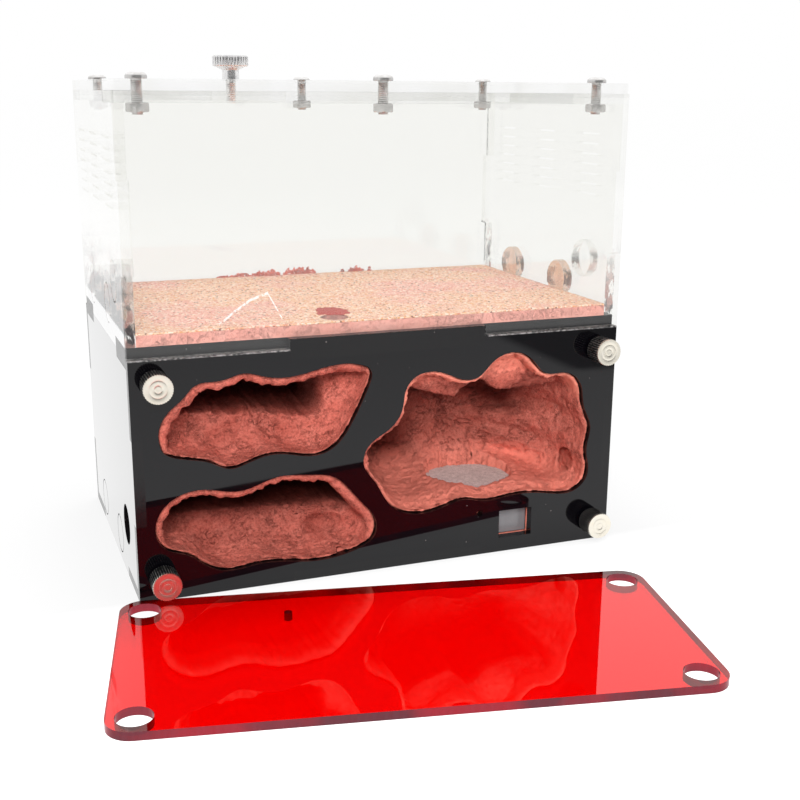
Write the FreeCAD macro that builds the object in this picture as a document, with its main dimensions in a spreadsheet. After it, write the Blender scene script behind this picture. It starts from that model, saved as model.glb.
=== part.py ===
import FreeCAD, Part
import math
import os

import Sketcher
from FreeCAD import Placement, Rotation, Vector

# Ant habitat: a black finger-jointed nest box full of plaster, a clear outworld box on top of it,
# a screwed-down lid, and a loose red cover that hangs on four knurled pegs.
# Millimetres. The origin is the centre of the nest's underside: X to the right, Y to the rear, Z up.

SIZES = {
    # the two boxes
    "box_width": 200.0,
    "box_depth": 126.0,
    "nest_height": 93.0,
    "outworld_height": 93.0,
    "sheet": 4.0,
    "face_tab": 80.0,
    "side_tab": 24.0,
    "edge_tab": 33.0,
    # ports, measured from the front or the rear, and from the underside of their own box; the open
    # ones lie a drop below the middle of the nest's height
    "port_radius": 8.0,
    "port_kerf": 0.1,
    "front_port_y": 25.5,
    "middle_port_y": 47.0,
    "rear_port_inset": 32.5,
    "open_port_drop": 24.0,
    "nest_closed_port_z": 11.0,
    "outworld_front_port_z": 25.0,
    "outworld_low_port_z": 13.5,
    # vent slits in the outworld's side walls
    "slit_length": 20.0,
    "slit_height": 0.9,
    "slit_pitch": 4.1,
    "slit_rows": 7.0,
    "slit_column_pitch": 38.0,
    "slit_top_z": 77.0,
    # front of the nest, measured from its right side
    "water_window_inset": 44.0,
    "water_window_z": 12.0,
    "water_window_width": 15.0,
    "water_window_height": 12.0,
    "filling_hole_inset": 60.5,
    "filling_hole_radius": 1.4,
    # plaster
    "rim_ledge": 2.2,
    "tunnel_radius": 4.5,
    "tunnel_setback": 22.0,
    "left_port_reach": 12.0,
    "right_port_reach": 18.0,
    "port_ledge": 0.5,
    "entrance_radius": 6.0,
    "entrance_x": 82.0,
    "entrance_y": 14.6,
    "entrance_reach": 15.0,
    "floor_slab": 4.2,
    "sand": 0.8,
    # water reservoir under the right chamber, measured from the nest's right side
    "tray_inset": 30.0,
    "tray_y": 6.0,
    "tray_width": 46.0,
    "tray_depth": 45.0,
    "tray_height": 17.0,
    "tray_wall": 2.0,
    "mesh_y": 31.0,
    "mesh_radius": 19.5,
    "mesh_thickness": 0.6,
    "mesh_lap": 2.5,
    "mesh_lift": 2.0,
    "mesh_gap": 0.2,
    "mesh_headroom": 14.0,
    # M4 hardware
    "bolt_radius": 2.0,
    "running_gap": 0.05,
    "seat_gap": 0.2,
    "nut_across": 7.0,
    "nut_height": 3.2,
    "stud_room": 1.8,
    "screw_head_radius": 3.8,
    "screw_head_height": 2.2,
    "screw_edge_height": 0.8,
    "screw_crown_radius": 2.4,
    "screw_length": 12.0,
    "socket_across": 2.5,
    "socket_depth": 1.3,
    "screw_inset": 9.5,
    # knurled pegs for the cover
    "peg_radius": 5.5,
    "peg_length": 10.0,
    "peg_shoulder_radius": 3.8,
    "peg_shoulder": 1.2,
    "peg_bevel": 0.5,
    "peg_stud": 8.2,
    "peg_inset": 9.0,
    "peg_low_z": 9.3,
    "peg_top_inset": 8.7,
    "knurl_count": 24.0,
    "knurl_depth": 0.45,
    "knurl_width": 0.95,
    # thumb screw in the lid
    "plug_x": 55.0,
    "plug_head_radius": 7.1,
    "plug_head_height": 4.2,
    "plug_neck_radius": 3.4,
    "plug_neck_height": 3.8,
    "plug_cone_height": 1.4,
    "plug_foot_radius": 3.8,
    "plug_foot_height": 0.5,
    "plug_shank": 8.0,
    "plug_knurl_count": 36.0,
    # lid and rim
    "lid_corner": 1.5,
    "rim_width": 16.0,
    # links between the chambers, as shares of the nest's width and height like the chambers
    "upper_link_x_share": 0.3,
    "upper_link_z_share": 0.41,
    "upper_link_length_share": 0.22,
    "lower_link_x_share": 0.39,
    "lower_link_z_share": 0.3,
    "lower_link_length_share": 0.13,
    # red cover, lying on the table
    "cover_sheet": 3.0,
    "cover_corner": 9.0,
    "cover_hole_radius": 6.0,
    "cover_small_hole_radius": 1.5,
    "cover_turn": 11.4,
    "cover_gap": 2.75,
    "cover_overhang": 7.4,
}

# Chamber outlines on the nest's front, clockwise from the left, in per cent of its width and height.
UPPER_CHAMBER = [
    (4.9, 67.4), (6.6, 78.0), (9.6, 83.5), (12.0, 88.4), (17.0, 89.6), (20.6, 91.7), (26.0, 89.2),
    (35.0, 90.8), (43.6, 91.7), (45.9, 89.0), (45.2, 80.4), (41.9, 66.3), (38.4, 57.2), (36.0, 54.8),
    (27.0, 56.8), (22.5, 55.2), (17.9, 52.7), (13.5, 56.8), (7.6, 59.6), (5.3, 63.0),
]
LOWER_CHAMBER = [
    (3.5, 31.2), (5.0, 38.6), (8.2, 43.8), (12.5, 45.2), (18.3, 42.9), (21.5, 43.4), (26.7, 46.9),
    (33.0, 46.5), (38.2, 44.4), (41.0, 39.6), (43.6, 32.6), (47.1, 21.5), (46.8, 16.0), (42.0, 9.9),
    (34.2, 7.8), (22.2, 9.8), (16.3, 8.8), (12.6, 12.6), (9.3, 17.9), (5.6, 21.0), (3.8, 26.0),
]
RIGHT_CHAMBER = [
    (44.4, 49.7), (46.2, 57.6), (49.8, 62.6), (52.4, 70.0), (53.4, 79.8), (56.2, 85.4), (60.2, 85.8),
    (64.8, 81.9), (68.2, 81.2), (71.5, 87.3), (75.6, 91.6), (80.0, 89.2), (83.8, 81.3), (89.4, 80.1),
    (92.2, 74.5), (93.2, 64.0), (95.0, 54.0), (94.2, 43.0), (95.0, 33.5), (92.6, 25.6), (84.0, 25.4),
    (76.0, 25.8), (71.0, 25.0), (66.8, 26.8), (61.0, 24.1), (54.6, 23.4), (50.2, 28.2), (46.6, 40.5),
]
# How far each chamber reaches back behind the panel, and where its deep recess lies:
# left, bottom, right and top in per cent of the front, then its depth.
CHAMBERS = [
    ("upper_chamber", UPPER_CHAMBER, 26.0, (11.5, 67.0, 39.5, 86.0, 62.0)),
    ("lower_chamber", LOWER_CHAMBER, 30.0, (8.0, 26.0, 40.0, 42.0, 62.0)),
    ("right_chamber", RIGHT_CHAMBER, 50.0, None),
]
# Each hollow's sections: how far back in its depth, how much narrower, and how much higher in mm.
HOLLOW_STATIONS = [(0.0, 1.0, 0.0), (0.7, 0.92, 0.6), (1.0, 0.66, 1.8)]
RECESS_START = 0.4
RECESS_ROUNDING = 0.4
# How closely arcs follow a smooth curve, and how far a cutter reaches past what it cuts, in mm.
ARC_TOLERANCE = 0.15
OVERLAP = 0.5
# Half the angle that one flat of a hexagon takes up, in degrees.
HALF_CORNER = 30

doc = FreeCAD.newDocument("AntHabitat")
sheet = doc.addObject("Spreadsheet::Sheet", "Sizes")
for row, (alias, number) in enumerate(SIZES.items(), start=1):
    sheet.set(f"A{row}", alias)
    sheet.set(f"B{row}", str(number))
    sheet.setAlias(f"B{row}", alias)
doc.recompute()

nodes = []

# Expressions that many pieces share.
LEFT = "-Sizes.box_width / 2"
FRONT = "-Sizes.box_depth / 2"
INNER_WIDTH = "(Sizes.box_width - 2 * Sizes.sheet)"
INNER_DEPTH = "(Sizes.box_depth - 2 * Sizes.sheet)"
BOLT_HOLE = "(Sizes.bolt_radius + Sizes.running_gap)"
RIM_TOP = "(Sizes.nest_height + Sizes.outworld_height)"
FLOOR_TOP = "(Sizes.nest_height + Sizes.sheet)"
SLAB_TOP = "(Sizes.nest_height + Sizes.sheet + Sizes.floor_slab)"
TRAY_TOP = "(Sizes.sheet + Sizes.tray_height)"
REAR_PORT_Y = "(Sizes.box_depth - Sizes.rear_port_inset)"
OPEN_PORT_Z = "(Sizes.nest_height / 2 - Sizes.open_port_drop)"
PEG_SPACING = "(Sizes.nest_height - Sizes.peg_top_inset - Sizes.peg_low_z)"

FLAT = Rotation()
FACING_FRONT = Rotation(Vector(1, 0, 0), 90)
FACING_SIDE = Rotation(Vector(1, 1, 1), 120)
ALONG_X = Rotation(Vector(0, 1, 0), 90)


def size(alias):
    return float(sheet.get(alias))


def worth(expression):
    return float(sheet.evalExpression(expression.replace("Sizes.", "")))


def keep(item, label):
    item.Label = label
    nodes.append(item)
    return item


def place(item, rotation, x, y, z):
    item.Placement = Placement(Vector(), rotation)
    for axis, expression in (("x", x), ("y", y), ("z", z)):
        item.setExpression(f"Placement.Base.{axis}", expression)
    return item


def sketch_in(body, role, name):
    sketch = body.newObject("Sketcher::SketchObject", name)
    plane = next(item for item in body.Origin.OriginFeatures if item.Role == role)
    sketch.AttachmentSupport = (plane, [""])
    sketch.MapMode = "FlatFace"
    return sketch


def pin(sketch, geometry, point, x, y):
    for kind, axis, expression in (("DistanceX", -2, x), ("DistanceY", -1, y)):
        value = worth(expression)
        if abs(value) < 1e-7:
            sketch.addConstraint(Sketcher.Constraint("PointOnObject", geometry, point, axis))
        else:
            index = sketch.addConstraint(Sketcher.Constraint(kind, -1, 1, geometry, point, value))
            sketch.setExpression(f"Constraints[{index}]", expression)


def draw_polygon(sketch, corners):
    first = sketch.GeometryCount
    spots = [Vector(worth(x), worth(y), 0) for x, y in corners]
    count = len(spots)
    for index in range(count):
        sketch.addGeometry(Part.LineSegment(spots[index], spots[(index + 1) % count]), False)
    for index in range(count):
        following = first + (index + 1) % count
        sketch.addConstraint(Sketcher.Constraint("Coincident", first + index, 2, following, 1))
    for index, (x, y) in enumerate(corners):
        pin(sketch, first + index, 1, x, y)


def draw_rectangle(sketch, left, low, right, high):
    draw_polygon(sketch, [(left, low), (right, low), (right, high), (left, high)])


def draw_circle(sketch, x, y, radius):
    circle = Part.Circle(Vector(worth(x), worth(y), 0), Vector(0, 0, 1), worth(radius))
    geometry = sketch.addGeometry(circle, False)
    index = sketch.addConstraint(Sketcher.Constraint("Radius", geometry, worth(radius)))
    sketch.setExpression(f"Constraints[{index}]", radius)
    pin(sketch, geometry, 3, x, y)


def draw_hexagon(sketch, across_flats):
    reach = 0.5 / math.cos(math.radians(30))
    corners = []
    for step in range(6):
        angle = math.radians(60 * step)
        x = f"{across_flats} * {reach * math.cos(angle):.7f}"
        y = f"{across_flats} * {reach * math.sin(angle):.7f}"
        corners.append((x, y))
    draw_polygon(sketch, corners)


def pad(body, sketch, length):
    feature = body.newObject("PartDesign::Pad", "Pad")
    feature.Profile = sketch
    feature.setExpression("Length", length)
    body.Tip = feature
    doc.recompute()
    return feature


def cut_through(body, sketch):
    before = body.Shape.Volume
    feature = body.newObject("PartDesign::Pocket", "Pocket")
    feature.Profile = sketch
    feature.Type = "ThroughAll"
    feature.Reversed = True
    body.Tip = feature
    doc.recompute()
    if not body.Shape.Volume < before:
        raise RuntimeError(f"{body.Name}: {sketch.Name} cuts nothing")
    return feature


def flat_sheet(name, width, height, thickness="Sizes.sheet"):
    body = doc.addObject("PartDesign::Body", name)
    sketch = sketch_in(body, "XY_Plane", "Blank")
    draw_rectangle(sketch, f"-{width} / 2", f"-{height} / 2", f"{width} / 2", f"{height} / 2")
    pad(body, sketch, thickness)
    return body


def cut_rectangles(body, rectangles, name="Notches"):
    sketch = sketch_in(body, "XY_Plane", name)
    for rectangle in rectangles:
        draw_rectangle(sketch, *rectangle)
    return cut_through(body, sketch)


def cut_circles(body, circles, name="Holes"):
    sketch = sketch_in(body, "XY_Plane", name)
    for circle in circles:
        draw_circle(sketch, *circle)
    return cut_through(body, sketch)


# Front and back walls: notched in the middle of the top and bottom edges for the plates' tabs,
# and in the middle of the upright edges for the side walls' tabs.
def face_wall(name, height):
    body = flat_sheet(name, "Sizes.box_width", height)
    inner = f"({height} / 2 - Sizes.sheet)"
    outer = f"({height} / 2 + 1)"
    notches = [
        ("-Sizes.face_tab / 2", inner, "Sizes.face_tab / 2", outer),
        ("-Sizes.face_tab / 2", "-" + outer, "Sizes.face_tab / 2", "-" + inner),
        ("-Sizes.box_width / 2 - 1", "-Sizes.edge_tab / 2", "-Sizes.box_width / 2 + Sizes.sheet",
         "Sizes.edge_tab / 2"),
        ("Sizes.box_width / 2 - Sizes.sheet", "-Sizes.edge_tab / 2", "Sizes.box_width / 2 + 1",
         "Sizes.edge_tab / 2"),
    ]
    cut_rectangles(body, notches)
    return body


# Left and right walls: the upright edges keep only their middle tab, and the top and bottom edges
# are notched near the corners for the plates' side tabs.
def side_wall(name, height):
    body = flat_sheet(name, "Sizes.box_depth", height)
    corner = "(Sizes.box_depth / 2 - Sizes.sheet)"
    beyond = "(Sizes.box_depth / 2 + 1)"
    tab_start = "(Sizes.box_depth / 2 - Sizes.sheet - Sizes.side_tab)"
    inner = f"({height} / 2 - Sizes.sheet)"
    outer = f"({height} / 2 + 1)"
    corners = []
    notches = []
    for side in ("", "-"):
        for end in ("", "-"):
            corners.append((side + corner, end + "Sizes.edge_tab / 2", side + beyond, end + outer))
            notches.append((side + tab_start, end + inner, side + corner, end + outer))
    cut_rectangles(body, corners, "CornerNotches")
    cut_rectangles(body, notches, "TabNotches")
    return body


# Top and bottom plates: a core between the walls and the tabs that reach through them.
def plate(name, window=None):
    body = flat_sheet(name, INNER_WIDTH, INNER_DEPTH)
    tab_end = f"{INNER_DEPTH} / 2"
    tab_start = f"({INNER_DEPTH} / 2 - Sizes.side_tab)"
    half_width = "Sizes.box_width / 2"
    half_depth = "Sizes.box_depth / 2"
    face_tabs = [("-Sizes.face_tab / 2", "-" + half_depth, "Sizes.face_tab / 2", half_depth)]
    side_tabs = [
        ("-" + half_width, tab_start, half_width, tab_end),
        ("-" + half_width, "-" + tab_end, half_width, "-" + tab_start),
    ]
    for rectangles in (face_tabs, side_tabs):
        sketch = sketch_in(body, "XY_Plane", "Tabs")
        for rectangle in rectangles:
            draw_rectangle(sketch, *rectangle)
        pad(body, sketch, "Sizes.sheet")
    if window:
        cut_rectangles(body, [window], "Window")
    return body


def from_left(distance):
    return f"({distance} - Sizes.box_width / 2)"


def from_right(distance):
    return f"(Sizes.box_width / 2 - {distance})"


def from_front(distance):
    return f"({distance} - Sizes.box_depth / 2)"


def above_middle(distance, height):
    return f"({distance} - {height} / 2)"


# The round way down from the outworld to the upper chamber, as a circle on a level plate.
ENTRANCE = (from_left("Sizes.entrance_x"), from_front("Sizes.entrance_y"), "Sizes.entrance_radius")
# Where the middle of the tray and of its well lies across the nest.
TRAY_MIDDLE = from_right("(Sizes.tray_inset + Sizes.tray_width / 2)")
# The filling hole is level with the top of the water window.
FILLING_HEIGHT = "(Sizes.water_window_z + Sizes.water_window_height / 2)"


# Organic outlines: a smooth closed curve through the points, laid out as a chain of arcs.


def across(share):
    return (share / 100 - 0.5) * size("box_width")


def up(share):
    return share / 100 * size("nest_height")


def outline(points):
    curve = Part.BSplineCurve()
    curve.interpolate(Points=[Vector(across(x), 0, up(z)) for x, z in points], PeriodicFlag=True)
    return Part.Wire([arc.toShape() for arc in curve.toBiArcs(ARC_TOLERANCE)])


# The openings in the front panel, cut square through the sheet.
def chamber_windows():
    front = -size("box_depth") / 2
    cuts = []
    for _, points, _, _ in CHAMBERS:
        face = Part.Face(outline(points))
        face.translate(Vector(0, front - OVERLAP, 0))
        cuts.append(face.extrude(Vector(0, size("sheet") + 2 * OVERLAP, 0)))
    windows = doc.addObject("Part::Feature", "ChamberWindows")
    windows.Shape = Part.makeCompound(cuts)
    return windows


# One hollow: it starts a ledge inside the panel's opening, narrows as it goes back and rises a little.
def chamber_hollow(name, points, depth, recess):
    start = -size("box_depth") / 2 + size("sheet")
    rim = outline(points).makeOffset2D(-size("rim_ledge"))
    middle = rim.BoundBox.Center
    wires = []
    for back, shrink, rise in HOLLOW_STATIONS:
        wire = rim.copy()
        wire.scale(shrink, middle)
        wire.translate(Vector(0, start + back * depth - OVERLAP, rise))
        wires.append(wire)
    hollow = Part.makeLoft(wires, True, True)
    if recess:
        hollow = hollow.fuse(deep_recess(start + RECESS_START * depth, start, *recess))
    item = doc.addObject("Part::Feature", name)
    item.Shape = hollow
    return item


# A round-cornered slot that reaches further back than the chamber in front of it.
def deep_recess(front, start, left, low, right, high, reach):
    height = up(high) - up(low)
    corner = Vector(across(left), front, up(low))
    slot = Part.makeBox(across(right) - across(left), start + reach - front, height, corner)
    long_edges = [edge for edge in slot.Edges if abs(edge.tangentAt(edge.FirstParameter).y) > 0.9]
    return slot.makeFillet(RECESS_ROUNDING * height, long_edges)


# Primitives and booleans.


def cylinder(name, radius, height, x, y, z, rotation=FLAT):
    item = doc.addObject("Part::Cylinder", name)
    item.setExpression("Radius", radius)
    item.setExpression("Height", height)
    return place(item, rotation, x, y, z)


def block(name, length, width, height, x, y, z):
    item = doc.addObject("Part::Box", name)
    for side, expression in (("Length", length), ("Width", width), ("Height", height)):
        item.setExpression(side, expression)
    return place(item, FLAT, x, y, z)


def cut(name, base, tools):
    tool = tools[0]
    if len(tools) > 1:
        tool = doc.addObject("Part::MultiFuse", name + "_tools")
        tool.Shapes = tools
    result = doc.addObject("Part::Cut", name)
    result.Base = base
    result.Tool = tool
    doc.recompute()
    return result


def peg_spots():
    right = from_right("Sizes.peg_inset")
    low = "Sizes.peg_low_z"
    high = f"({low} + {PEG_SPACING})"
    return {
        "upper_left": ("-" + right, high),
        "upper_right": (right, high),
        "lower_left": ("-" + right, low),
        "lower_right": (right, low),
    }


def nest_front_panel():
    height = "Sizes.nest_height"
    body = face_wall("FrontPanelBlank", height)
    holes = [(x, above_middle(z, height), BOLT_HOLE) for x, z in peg_spots().values()]
    filling_z = above_middle(FILLING_HEIGHT, height)
    holes.append((from_right("Sizes.filling_hole_inset"), filling_z, "Sizes.filling_hole_radius"))
    cut_circles(body, holes)
    x = from_right("Sizes.water_window_inset")
    z = above_middle("Sizes.water_window_z", height)
    half_width = "Sizes.water_window_width / 2"
    half_height = "Sizes.water_window_height / 2"
    window = (f"{x} - {half_width}", f"{z} - {half_height}", f"{x} + {half_width}", f"{z} + {half_height}")
    cut_rectangles(body, [window], "WaterWindow")
    place(body, FACING_FRONT, "0", f"{FRONT} + Sizes.sheet", "Sizes.nest_height / 2")
    keep(cut("FrontPanel", body, [chamber_windows()]), "nest_front_panel")


def nest_back_panel():
    body = face_wall("BackPanel", "Sizes.nest_height")
    place(body, FACING_FRONT, "0", "Sizes.box_depth / 2", "Sizes.nest_height / 2")
    keep(body, "nest_back_panel")


NEST_PORTS = {
    "front": ("Sizes.front_port_y", OPEN_PORT_Z),
    "middle": ("Sizes.middle_port_y", "Sizes.nest_closed_port_z"),
    "rear": (REAR_PORT_Y, "Sizes.nest_closed_port_z"),
}
OUTWORLD_PORTS = {
    "front": ("Sizes.front_port_y", "Sizes.outworld_front_port_z"),
    "middle": ("Sizes.middle_port_y", "Sizes.outworld_low_port_z"),
    "rear": (REAR_PORT_Y, "Sizes.outworld_low_port_z"),
}
SIDES = {"left": "-Sizes.box_width / 2", "right": "(Sizes.box_width / 2 - Sizes.sheet)"}


def cut_ports(body, ports, height):
    circles = [(from_front(y), above_middle(z, height), "Sizes.port_radius") for y, z in ports.values()]
    cut_circles(body, circles, "Ports")


def port_disc(label, side, y, z):
    disc = cylinder("PortDisc", "Sizes.port_radius - Sizes.port_kerf", "Sizes.sheet",
                    SIDES[side], from_front(y), z, ALONG_X)
    keep(disc, label)


def nest_sides():
    for side, x in SIDES.items():
        body = side_wall(f"Nest{side.title()}Panel", "Sizes.nest_height")
        cut_ports(body, NEST_PORTS, "Sizes.nest_height")
        place(body, FACING_SIDE, x, "0", "Sizes.nest_height / 2")
        keep(body, f"nest_{side}_panel")
        for position in ("middle", "rear"):
            y, z = NEST_PORTS[position]
            port_disc(f"nest_{side}_{position}_disc", side, y, z)


def nest_plates():
    bottom = plate("BottomPlate")
    place(bottom, FLAT, "0", "0", "0")
    keep(bottom, "nest_bottom_plate")
    top = plate("TopPlate")
    cut_circles(top, [ENTRANCE])
    place(top, FLAT, "0", "0", "Sizes.nest_height - Sizes.sheet")
    keep(top, "nest_top_plate")


# Plaster cast into the nest box, with chambers, tunnels, the reservoir's pocket and its well.
def plaster_block():
    blank = block("PlasterBlank", INNER_WIDTH, INNER_DEPTH, "Sizes.nest_height - 2 * Sizes.sheet",
                  f"{LEFT} + Sizes.sheet", f"{FRONT} + Sizes.sheet", "Sizes.sheet")
    tools = [chamber_hollow(*chamber) for chamber in CHAMBERS]
    tools += tunnels() + reservoir_hollows() + nut_pockets()
    keep(cut("Plaster", blank, tools), "plaster_block")


# The ants' ways: down from the outworld, between the chambers, and in from the two open ports.
def tunnels():
    link_y = from_front("(Sizes.sheet + Sizes.tunnel_setback)")
    port_y = from_front("Sizes.front_port_y")
    port_radius = "Sizes.port_radius - Sizes.port_ledge"
    entrance_foot = f"(Sizes.nest_height - Sizes.sheet - Sizes.entrance_reach + {OVERLAP})"
    entrance = cylinder("Entrance", "Sizes.entrance_radius", "Sizes.entrance_reach",
                        from_left("Sizes.entrance_x"), from_front("Sizes.entrance_y"), entrance_foot)
    upper_link = cylinder("UpperLink", "Sizes.tunnel_radius",
                          "Sizes.nest_height * Sizes.upper_link_length_share",
                          from_left("Sizes.box_width * Sizes.upper_link_x_share"), link_y,
                          "Sizes.nest_height * Sizes.upper_link_z_share")
    lower_link = cylinder("LowerLink", "Sizes.tunnel_radius",
                          "Sizes.box_width * Sizes.lower_link_length_share",
                          from_left("Sizes.box_width * Sizes.lower_link_x_share"), link_y,
                          "Sizes.nest_height * Sizes.lower_link_z_share", ALONG_X)
    left_port = cylinder("LeftPortTunnel", port_radius, "Sizes.left_port_reach",
                         f"{LEFT} + Sizes.sheet - {OVERLAP}", port_y, OPEN_PORT_Z, ALONG_X)
    right_start = f"Sizes.box_width / 2 - Sizes.sheet + {OVERLAP} - Sizes.right_port_reach"
    right_port = cylinder("RightPortTunnel", port_radius, "Sizes.right_port_reach",
                          right_start, port_y, OPEN_PORT_Z, ALONG_X)
    return [entrance, upper_link, lower_link, left_port, right_port]


# The tray's pocket, the well and mesh seat above it, and its window and filling hole in front.
def reservoir_hollows():
    y = from_front("Sizes.mesh_y")
    seat = f"({TRAY_TOP} + Sizes.mesh_lift)"
    pocket = block("TrayPocket", "Sizes.tray_width", "Sizes.tray_depth", "Sizes.tray_height",
                   from_right("(Sizes.tray_inset + Sizes.tray_width)"), from_front("Sizes.tray_y"),
                   "Sizes.sheet")
    well = cylinder("Well", "Sizes.mesh_radius - Sizes.mesh_lap", f"Sizes.mesh_lift + {2 * OVERLAP}",
                    TRAY_MIDDLE, y, f"{TRAY_TOP} - {OVERLAP}")
    mesh_seat = cylinder("MeshSeat", "Sizes.mesh_radius + Sizes.mesh_gap", "Sizes.mesh_headroom",
                         TRAY_MIDDLE, y, seat)
    skin = f"Sizes.tray_y - Sizes.sheet + {2 * OVERLAP}"
    window = block("WindowTunnel", "Sizes.water_window_width", skin, "Sizes.water_window_height",
                   from_right("(Sizes.water_window_inset + Sizes.water_window_width / 2)"),
                   f"{FRONT} + Sizes.sheet - {OVERLAP}",
                   "Sizes.water_window_z - Sizes.water_window_height / 2")
    filling = cylinder("FillingTunnel", "Sizes.filling_hole_radius", skin,
                       from_right("Sizes.filling_hole_inset"),
                       f"{FRONT} + Sizes.tray_y + {OVERLAP}",
                       FILLING_HEIGHT, FACING_FRONT)
    return [pocket, well, mesh_seat, window, filling]


# Room behind the panel for each peg's nut and the end of its stud.
def nut_pockets():
    back = f"{FRONT} + Sizes.sheet + Sizes.nut_height + Sizes.stud_room"
    depth = f"Sizes.nut_height + Sizes.stud_room + {OVERLAP}"
    radius = f"Sizes.nut_across / 2 / cos({HALF_CORNER}) + Sizes.seat_gap"
    pockets = []
    for x, z in peg_spots().values():
        pockets.append(cylinder("NutPocket", radius, depth, x, back, z, FACING_FRONT))
    return pockets


def water_tray():
    body = flat_sheet("Tray", "Sizes.tray_width", "Sizes.tray_depth", "Sizes.tray_height")
    sketch = sketch_in(body, "XY_Plane", "Basin")
    sketch.setExpression("AttachmentOffset.Base.z", "Sizes.tray_wall")
    half_width = "(Sizes.tray_width / 2 - Sizes.tray_wall)"
    half_depth = "(Sizes.tray_depth / 2 - Sizes.tray_wall)"
    draw_rectangle(sketch, "-" + half_width, "-" + half_depth, half_width, half_depth)
    cut_through(body, sketch)
    y = from_front("(Sizes.tray_y + Sizes.tray_depth / 2)")
    place(body, FLAT, TRAY_MIDDLE, y, "Sizes.sheet")
    bore = cylinder("TrayBore", "Sizes.filling_hole_radius", f"Sizes.tray_wall + {2 * OVERLAP}",
                    from_right("Sizes.filling_hole_inset"),
                    f"{FRONT} + Sizes.tray_y + Sizes.tray_wall + {OVERLAP}",
                    FILLING_HEIGHT, FACING_FRONT)
    keep(cut("WaterTray", body, [bore]), "water_tray")


def water_mesh():
    disc = cylinder("Mesh", "Sizes.mesh_radius", "Sizes.mesh_thickness", TRAY_MIDDLE,
                    from_front("Sizes.mesh_y"), f"{TRAY_TOP} + Sizes.mesh_lift")
    keep(disc, "water_mesh")


def revolved(name, profile):
    body = doc.addObject("PartDesign::Body", name)
    sketch = sketch_in(body, "XZ_Plane", "Profile")
    draw_polygon(sketch, profile)
    feature = body.newObject("PartDesign::Revolution", "Turned")
    feature.Profile = sketch
    feature.ReferenceAxis = (sketch, ["V_Axis"])
    feature.Angle = 360
    body.Tip = feature
    doc.recompute()
    return body


# Straight knurling: one V groove along the rim, repeated round the axis.
def knurl(body, radius, count):
    sketch = sketch_in(body, "XY_Plane", "Groove")
    draw_polygon(sketch, [
        (f"{radius} - Sizes.knurl_depth", "0"),
        (radius, "-Sizes.knurl_width / 2"),
        (radius, "Sizes.knurl_width / 2"),
    ])
    groove = cut_through(body, sketch)
    axis = next(item for item in body.Origin.OriginFeatures if item.Role == "Z_Axis")
    pattern = body.newObject("PartDesign::PolarPattern", "Knurling")
    pattern.Originals = [groove]
    pattern.Axis = (axis, [""])
    pattern.Angle = 360
    pattern.setExpression("Occurrences", count)
    body.Tip = pattern
    doc.recompute()


def peg(label, x, z):
    neck = "Sizes.bolt_radius"
    shoulder = "(Sizes.seat_gap + Sizes.peg_shoulder)"
    body = revolved("Peg", [
        ("0", "-Sizes.peg_stud"),
        (neck, "-Sizes.peg_stud"),
        (neck, "Sizes.seat_gap"),
        ("Sizes.peg_shoulder_radius", "Sizes.seat_gap"),
        ("Sizes.peg_shoulder_radius", shoulder),
        ("Sizes.peg_radius", shoulder),
        ("Sizes.peg_radius", "Sizes.peg_length - Sizes.peg_bevel"),
        ("Sizes.peg_radius - Sizes.peg_bevel", "Sizes.peg_length - Sizes.peg_bevel"),
        ("Sizes.peg_radius - 2 * Sizes.peg_bevel", "Sizes.peg_length"),
        ("0", "Sizes.peg_length"),
    ])
    knurl(body, "Sizes.peg_radius", "Sizes.knurl_count")
    place(body, FACING_FRONT, x, FRONT, z)
    keep(body, label)


def nut(label, rotation, x, y, z):
    body = doc.addObject("PartDesign::Body", "Nut")
    sketch = sketch_in(body, "XY_Plane", "Hexagon")
    draw_hexagon(sketch, "Sizes.nut_across")
    pad(body, sketch, "Sizes.nut_height")
    cut_circles(body, [("0", "0", BOLT_HOLE)], "Bore")
    place(body, rotation, x, y, z)
    keep(body, label)


def pegs():
    for corner, (x, z) in peg_spots().items():
        peg(f"{corner}_peg", x, z)
        nut(f"{corner}_peg_nut", FACING_FRONT, x, f"{FRONT} + Sizes.sheet + Sizes.nut_height", z)


def screw_spots():
    x = "(Sizes.box_width / 2 - Sizes.screw_inset)"
    y = "(Sizes.box_depth / 2 - Sizes.screw_inset)"
    return {
        "front_left": ("-" + x, "-" + y),
        "front_middle": ("0", "-" + y),
        "front_right": (x, "-" + y),
        "rear_left": ("-" + x, y),
        "rear_middle": ("0", y),
        "rear_right": (x, y),
    }


# Button-head screw, standing on its head's underside.
def lid_screw(label, x, y):
    body = revolved("LidScrew", [
        ("0", "-Sizes.screw_length"),
        ("Sizes.bolt_radius", "-Sizes.screw_length"),
        ("Sizes.bolt_radius", "0"),
        ("Sizes.screw_head_radius", "0"),
        ("Sizes.screw_head_radius", "Sizes.screw_edge_height"),
        ("Sizes.screw_crown_radius", "Sizes.screw_head_height"),
        ("0", "Sizes.screw_head_height"),
    ])
    sketch = sketch_in(body, "XY_Plane", "Socket")
    sketch.setExpression("AttachmentOffset.Base.z", "Sizes.screw_head_height - Sizes.socket_depth")
    draw_hexagon(sketch, "Sizes.socket_across")
    cut_through(body, sketch)
    place(body, FLAT, x, y, f"{RIM_TOP} + Sizes.sheet")
    keep(body, label)


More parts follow.
